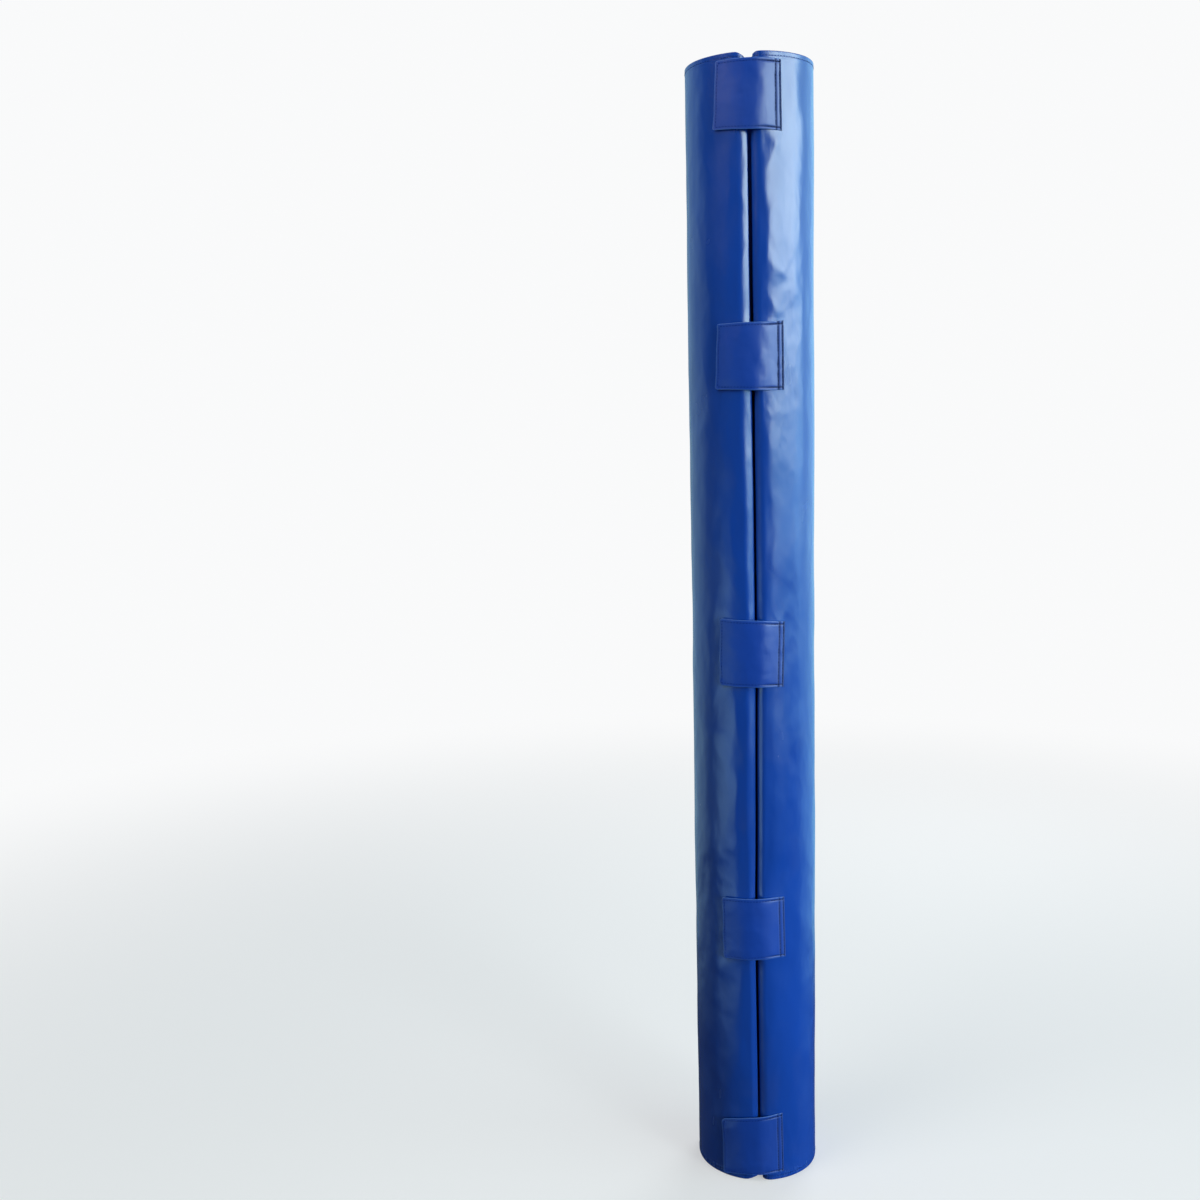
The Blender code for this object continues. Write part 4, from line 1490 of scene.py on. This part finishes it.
for number in range(len(STRAPS)):
    root, flap, root_stitches, flap_stitches = make_strap(number)
    hook_parts = make_tape(
        number, "hook", f"hook_tape_{number + 1}", (HOOK_TAPE_FACE, HOOK_TAPE_FACE + TAPE_THICK),
        f"tab_{number + 1}", materials["hooks"], False, HOOK_SWEEP,
    )
    loop_parts = make_tape(
        number, "loop", f"loop_tape_{number + 1}", (LOOP_TAPE_FACE - TAPE_THICK, LOOP_TAPE_FACE),
        "left_half", materials["loops"], True, LOOP_SWEEP,
    )
    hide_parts(f"strap_{number + 1}_base", f"strap_{number + 1}_bridge")
    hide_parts(f"strap_{number + 1}_tab")


# Stage, light and camera

PAPER_GLOW = (0.95, 0.955, 0.96, 1.0)
PAPER_FADE = (0.8, 3.5)
PAPER_LEAST_GLOW = 0.45


def make_floor():
    """White paper that shades near the pad and glows as the backdrop does further off."""
    corners = ((-40, -40, 0), (40, -40, 0), (40, 40, 0), (-40, 40, 0))
    paper = Finish(
        "floor_paper", Base_Color=(0.93, 0.92, 0.91, 1.0), Roughness=0.9, Specular_IOR_Level=0.0,
    )
    far = paper.add("ShaderNodeVectorMath", {0: paper.place}, operation="LENGTH").outputs["Value"]
    share = paper.rise(far, *PAPER_FADE, PAPER_LEAST_GLOW)
    glow = paper.add("ShaderNodeEmission", {"Color": PAPER_GLOW}).outputs["Emission"]
    inputs = {0: share, 1: paper.shader.outputs["BSDF"], 2: glow}
    surface = paper.add("ShaderNodeMixShader", inputs).outputs["Shader"]
    paper.put(paper.nodes["Material Output"].inputs["Surface"], surface)
    floor = mesh_object("floor", corners, [(0, 1, 2, 3)], paper.material)
    floor.visible_diffuse = False
    floor.visible_glossy = False


# What the vinyl reflects: brightness and tint, azimuths from and to with their softness, then
# elevations from and to with theirs, all in degrees as seen from the pad. The second row is a bar
# that takes light away from the window in the first.
ROOM = (
    ((4.70, 5.10, 4.60), (31, 92), (10, 18), (3, 22), (4, 12)),
    ((-0.90, -0.75, -0.50), (55, 63), (9, 12), (3, 22), (4, 12)),
    ((0.62, 1.70, 2.25), (33, 101), (34, 14), (-8, 22), (14, 12)),
    ((0.48, 0.70, 0.75), (33, 101), (34, 14), (-2, 22), (10, 12)),
    ((0.33, 0.80, 1.02), (96, 172), (30, 40), (-22, 24), (5, 12)),
    ((0.40, 0.62, 0.72), (86, 165), (24, 40), (-8, 24), (16, 12)),
    ((0.30, 0.53, 0.65), (-175, -95), (50, 42), (-21, 40), (8, 20)),
    ((0.78, 1.40, 1.68), (-74, -34), (22, 16), (-19, -9), (9, 5)),
    ((0.04, 0.05, 0.06), (-200, 200), (1, 1), (-60, 95), (40, 10)),
    ((0.16, 0.18, 0.22), (-200, 200), (1, 1), (60, 95), (20, 1)),
)
DIFFUSE_SHARE = 0.66


def make_room():
    """Soft light all round: a tall bright window at the right, dimmer walls beside and behind."""
    world = bpy.data.worlds.new("room")
    scene.world = world
    world.use_nodes = True
    world.node_tree.nodes.clear()
    air = Wiring(world.node_tree)
    way = air.add("ShaderNodeTexCoord").outputs["Generated"]
    x, y, z = air.add("ShaderNodeSeparateXYZ", {0: way}).outputs
    azimuth = air.math("DEGREES", air.math("ARCTAN2", x, air.math("MULTIPLY", y, -1.0)))
    elevation = air.math("DEGREES", air.math("ARCSINE", z))

    def step(value, at, softness):
        return air.rise(value, at - softness / 2, at + softness / 2)

    total = (0.0, 0.0, 0.0)
    for tint, (left, right), (soft_left, soft_right), (low, high), (soft_low, soft_high) in ROOM:
        begun = air.math("MULTIPLY", step(azimuth, left, soft_left), step(elevation, low, soft_low))
        past_right = air.math("SUBTRACT", 1.0, step(azimuth, right, soft_right))
        past_high = air.math("SUBTRACT", 1.0, step(elevation, high, soft_high))
        inside = air.math("MULTIPLY", begun, air.math("MULTIPLY", past_right, past_high))
        inputs = {0: inside, 1: tint, 2: total}
        total = air.add("ShaderNodeVectorMath", inputs, operation="MULTIPLY_ADD").outputs["Vector"]

    seen = air.add("ShaderNodeLightPath").outputs
    inputs = {"Value": seen["Is Diffuse Ray"], "To Min": 1.0, "To Max": DIFFUSE_SHARE}
    strength = air.add("ShaderNodeMapRange", inputs).outputs["Result"]
    room = air.add("ShaderNodeBackground", {"Color": total, "Strength": strength}).outputs[0]
    backdrop = air.add("ShaderNodeBackground", {"Color": PAPER_GLOW}).outputs[0]
    inputs = {0: seen["Is Camera Ray"], 1: room, 2: backdrop}
    surface = air.add("ShaderNodeMixShader", inputs).outputs[0]
    air.add("ShaderNodeOutputWorld", {"Surface": surface})
    world.cycles.sampling_method = "MANUAL"
    world.cycles.sample_map_resolution = 512


# Lamps: name, place, the point of the pad's axis that it is aimed at, size, power in watts, tint
LAMPS = (
    ("fill_left", (-1.20, -1.00, 2.50), (0.0, 0.0, 1.50), 1.3, 19.0, (1.0, 0.97, 0.92)),
    ("fill_right", (1.35, -1.45, 0.62), (0.0, 0.0, 0.25), 0.5, 11.5, (0.9, 0.97, 1.0)),
    ("fill_top", (-0.3, -0.5, 3.6), (0.0, 0.0, 1.8), 1.2, 8.0, (1.0, 1.0, 1.0)),
    ("fill_back", (0.8, 2.2, 1.9), (0.0, 0.0, 0.9), 1.6, 30.0, (0.95, 0.98, 1.0)),
)


def make_lamp(name, place, aim, size, power, tint):
    """A soft lamp that fills shadows and shows neither in the vinyl's gloss nor in the picture."""
    data = bpy.data.lights.new(name, "AREA")
    data.shape = "DISK"
    data.size = size
    data.energy = power
    data.color = tint
    lamp = bpy.data.objects.new(name, data)
    scene.collection.objects.link(lamp)
    lamp.location = place
    lamp.rotation_euler = (Vector(aim) - Vector(place)).to_track_quat("-Z", "Y").to_euler()
    lamp.visible_glossy = False
    lamp.visible_camera = False


CAMERA_PLACE = (-0.0467, -2.1529, 1.2525)
CAMERA_HEADING = -5.455
CAMERA_DOWN = 7.566
CAMERA_ROLL = -1.333
CAMERA_LENS = 39.38


def make_camera():
    """The photograph's viewpoint, from the left of the pad's front and above its middle."""
    head, down, roll = (math.radians(v) for v in (CAMERA_HEADING, CAMERA_DOWN, CAMERA_ROLL))
    forward = Vector((math.sin(head) * math.cos(down), math.cos(head) * math.cos(down), -math.sin(down)))
    level = Vector((math.cos(head), -math.sin(head), 0.0))
    upright = level.cross(forward)
    right = level * math.cos(roll) + upright * math.sin(roll)
    up = upright * math.cos(roll) - level * math.sin(roll)
    data = bpy.data.cameras.new("camera")
    data.sensor_width = 36.0
    data.lens = CAMERA_LENS
    data.clip_end = 200.0
    camera = bpy.data.objects.new("camera", data)
    scene.collection.objects.link(camera)
    turn = Matrix((right, up, -forward)).transposed().to_4x4()
    camera.matrix_world = Matrix.Translation(CAMERA_PLACE) @ turn
    scene.camera = camera


make_floor()
make_room()
for lamp_facts in LAMPS:
    make_lamp(*lamp_facts)
make_camera()
scene.view_settings.view_transform = "Standard"
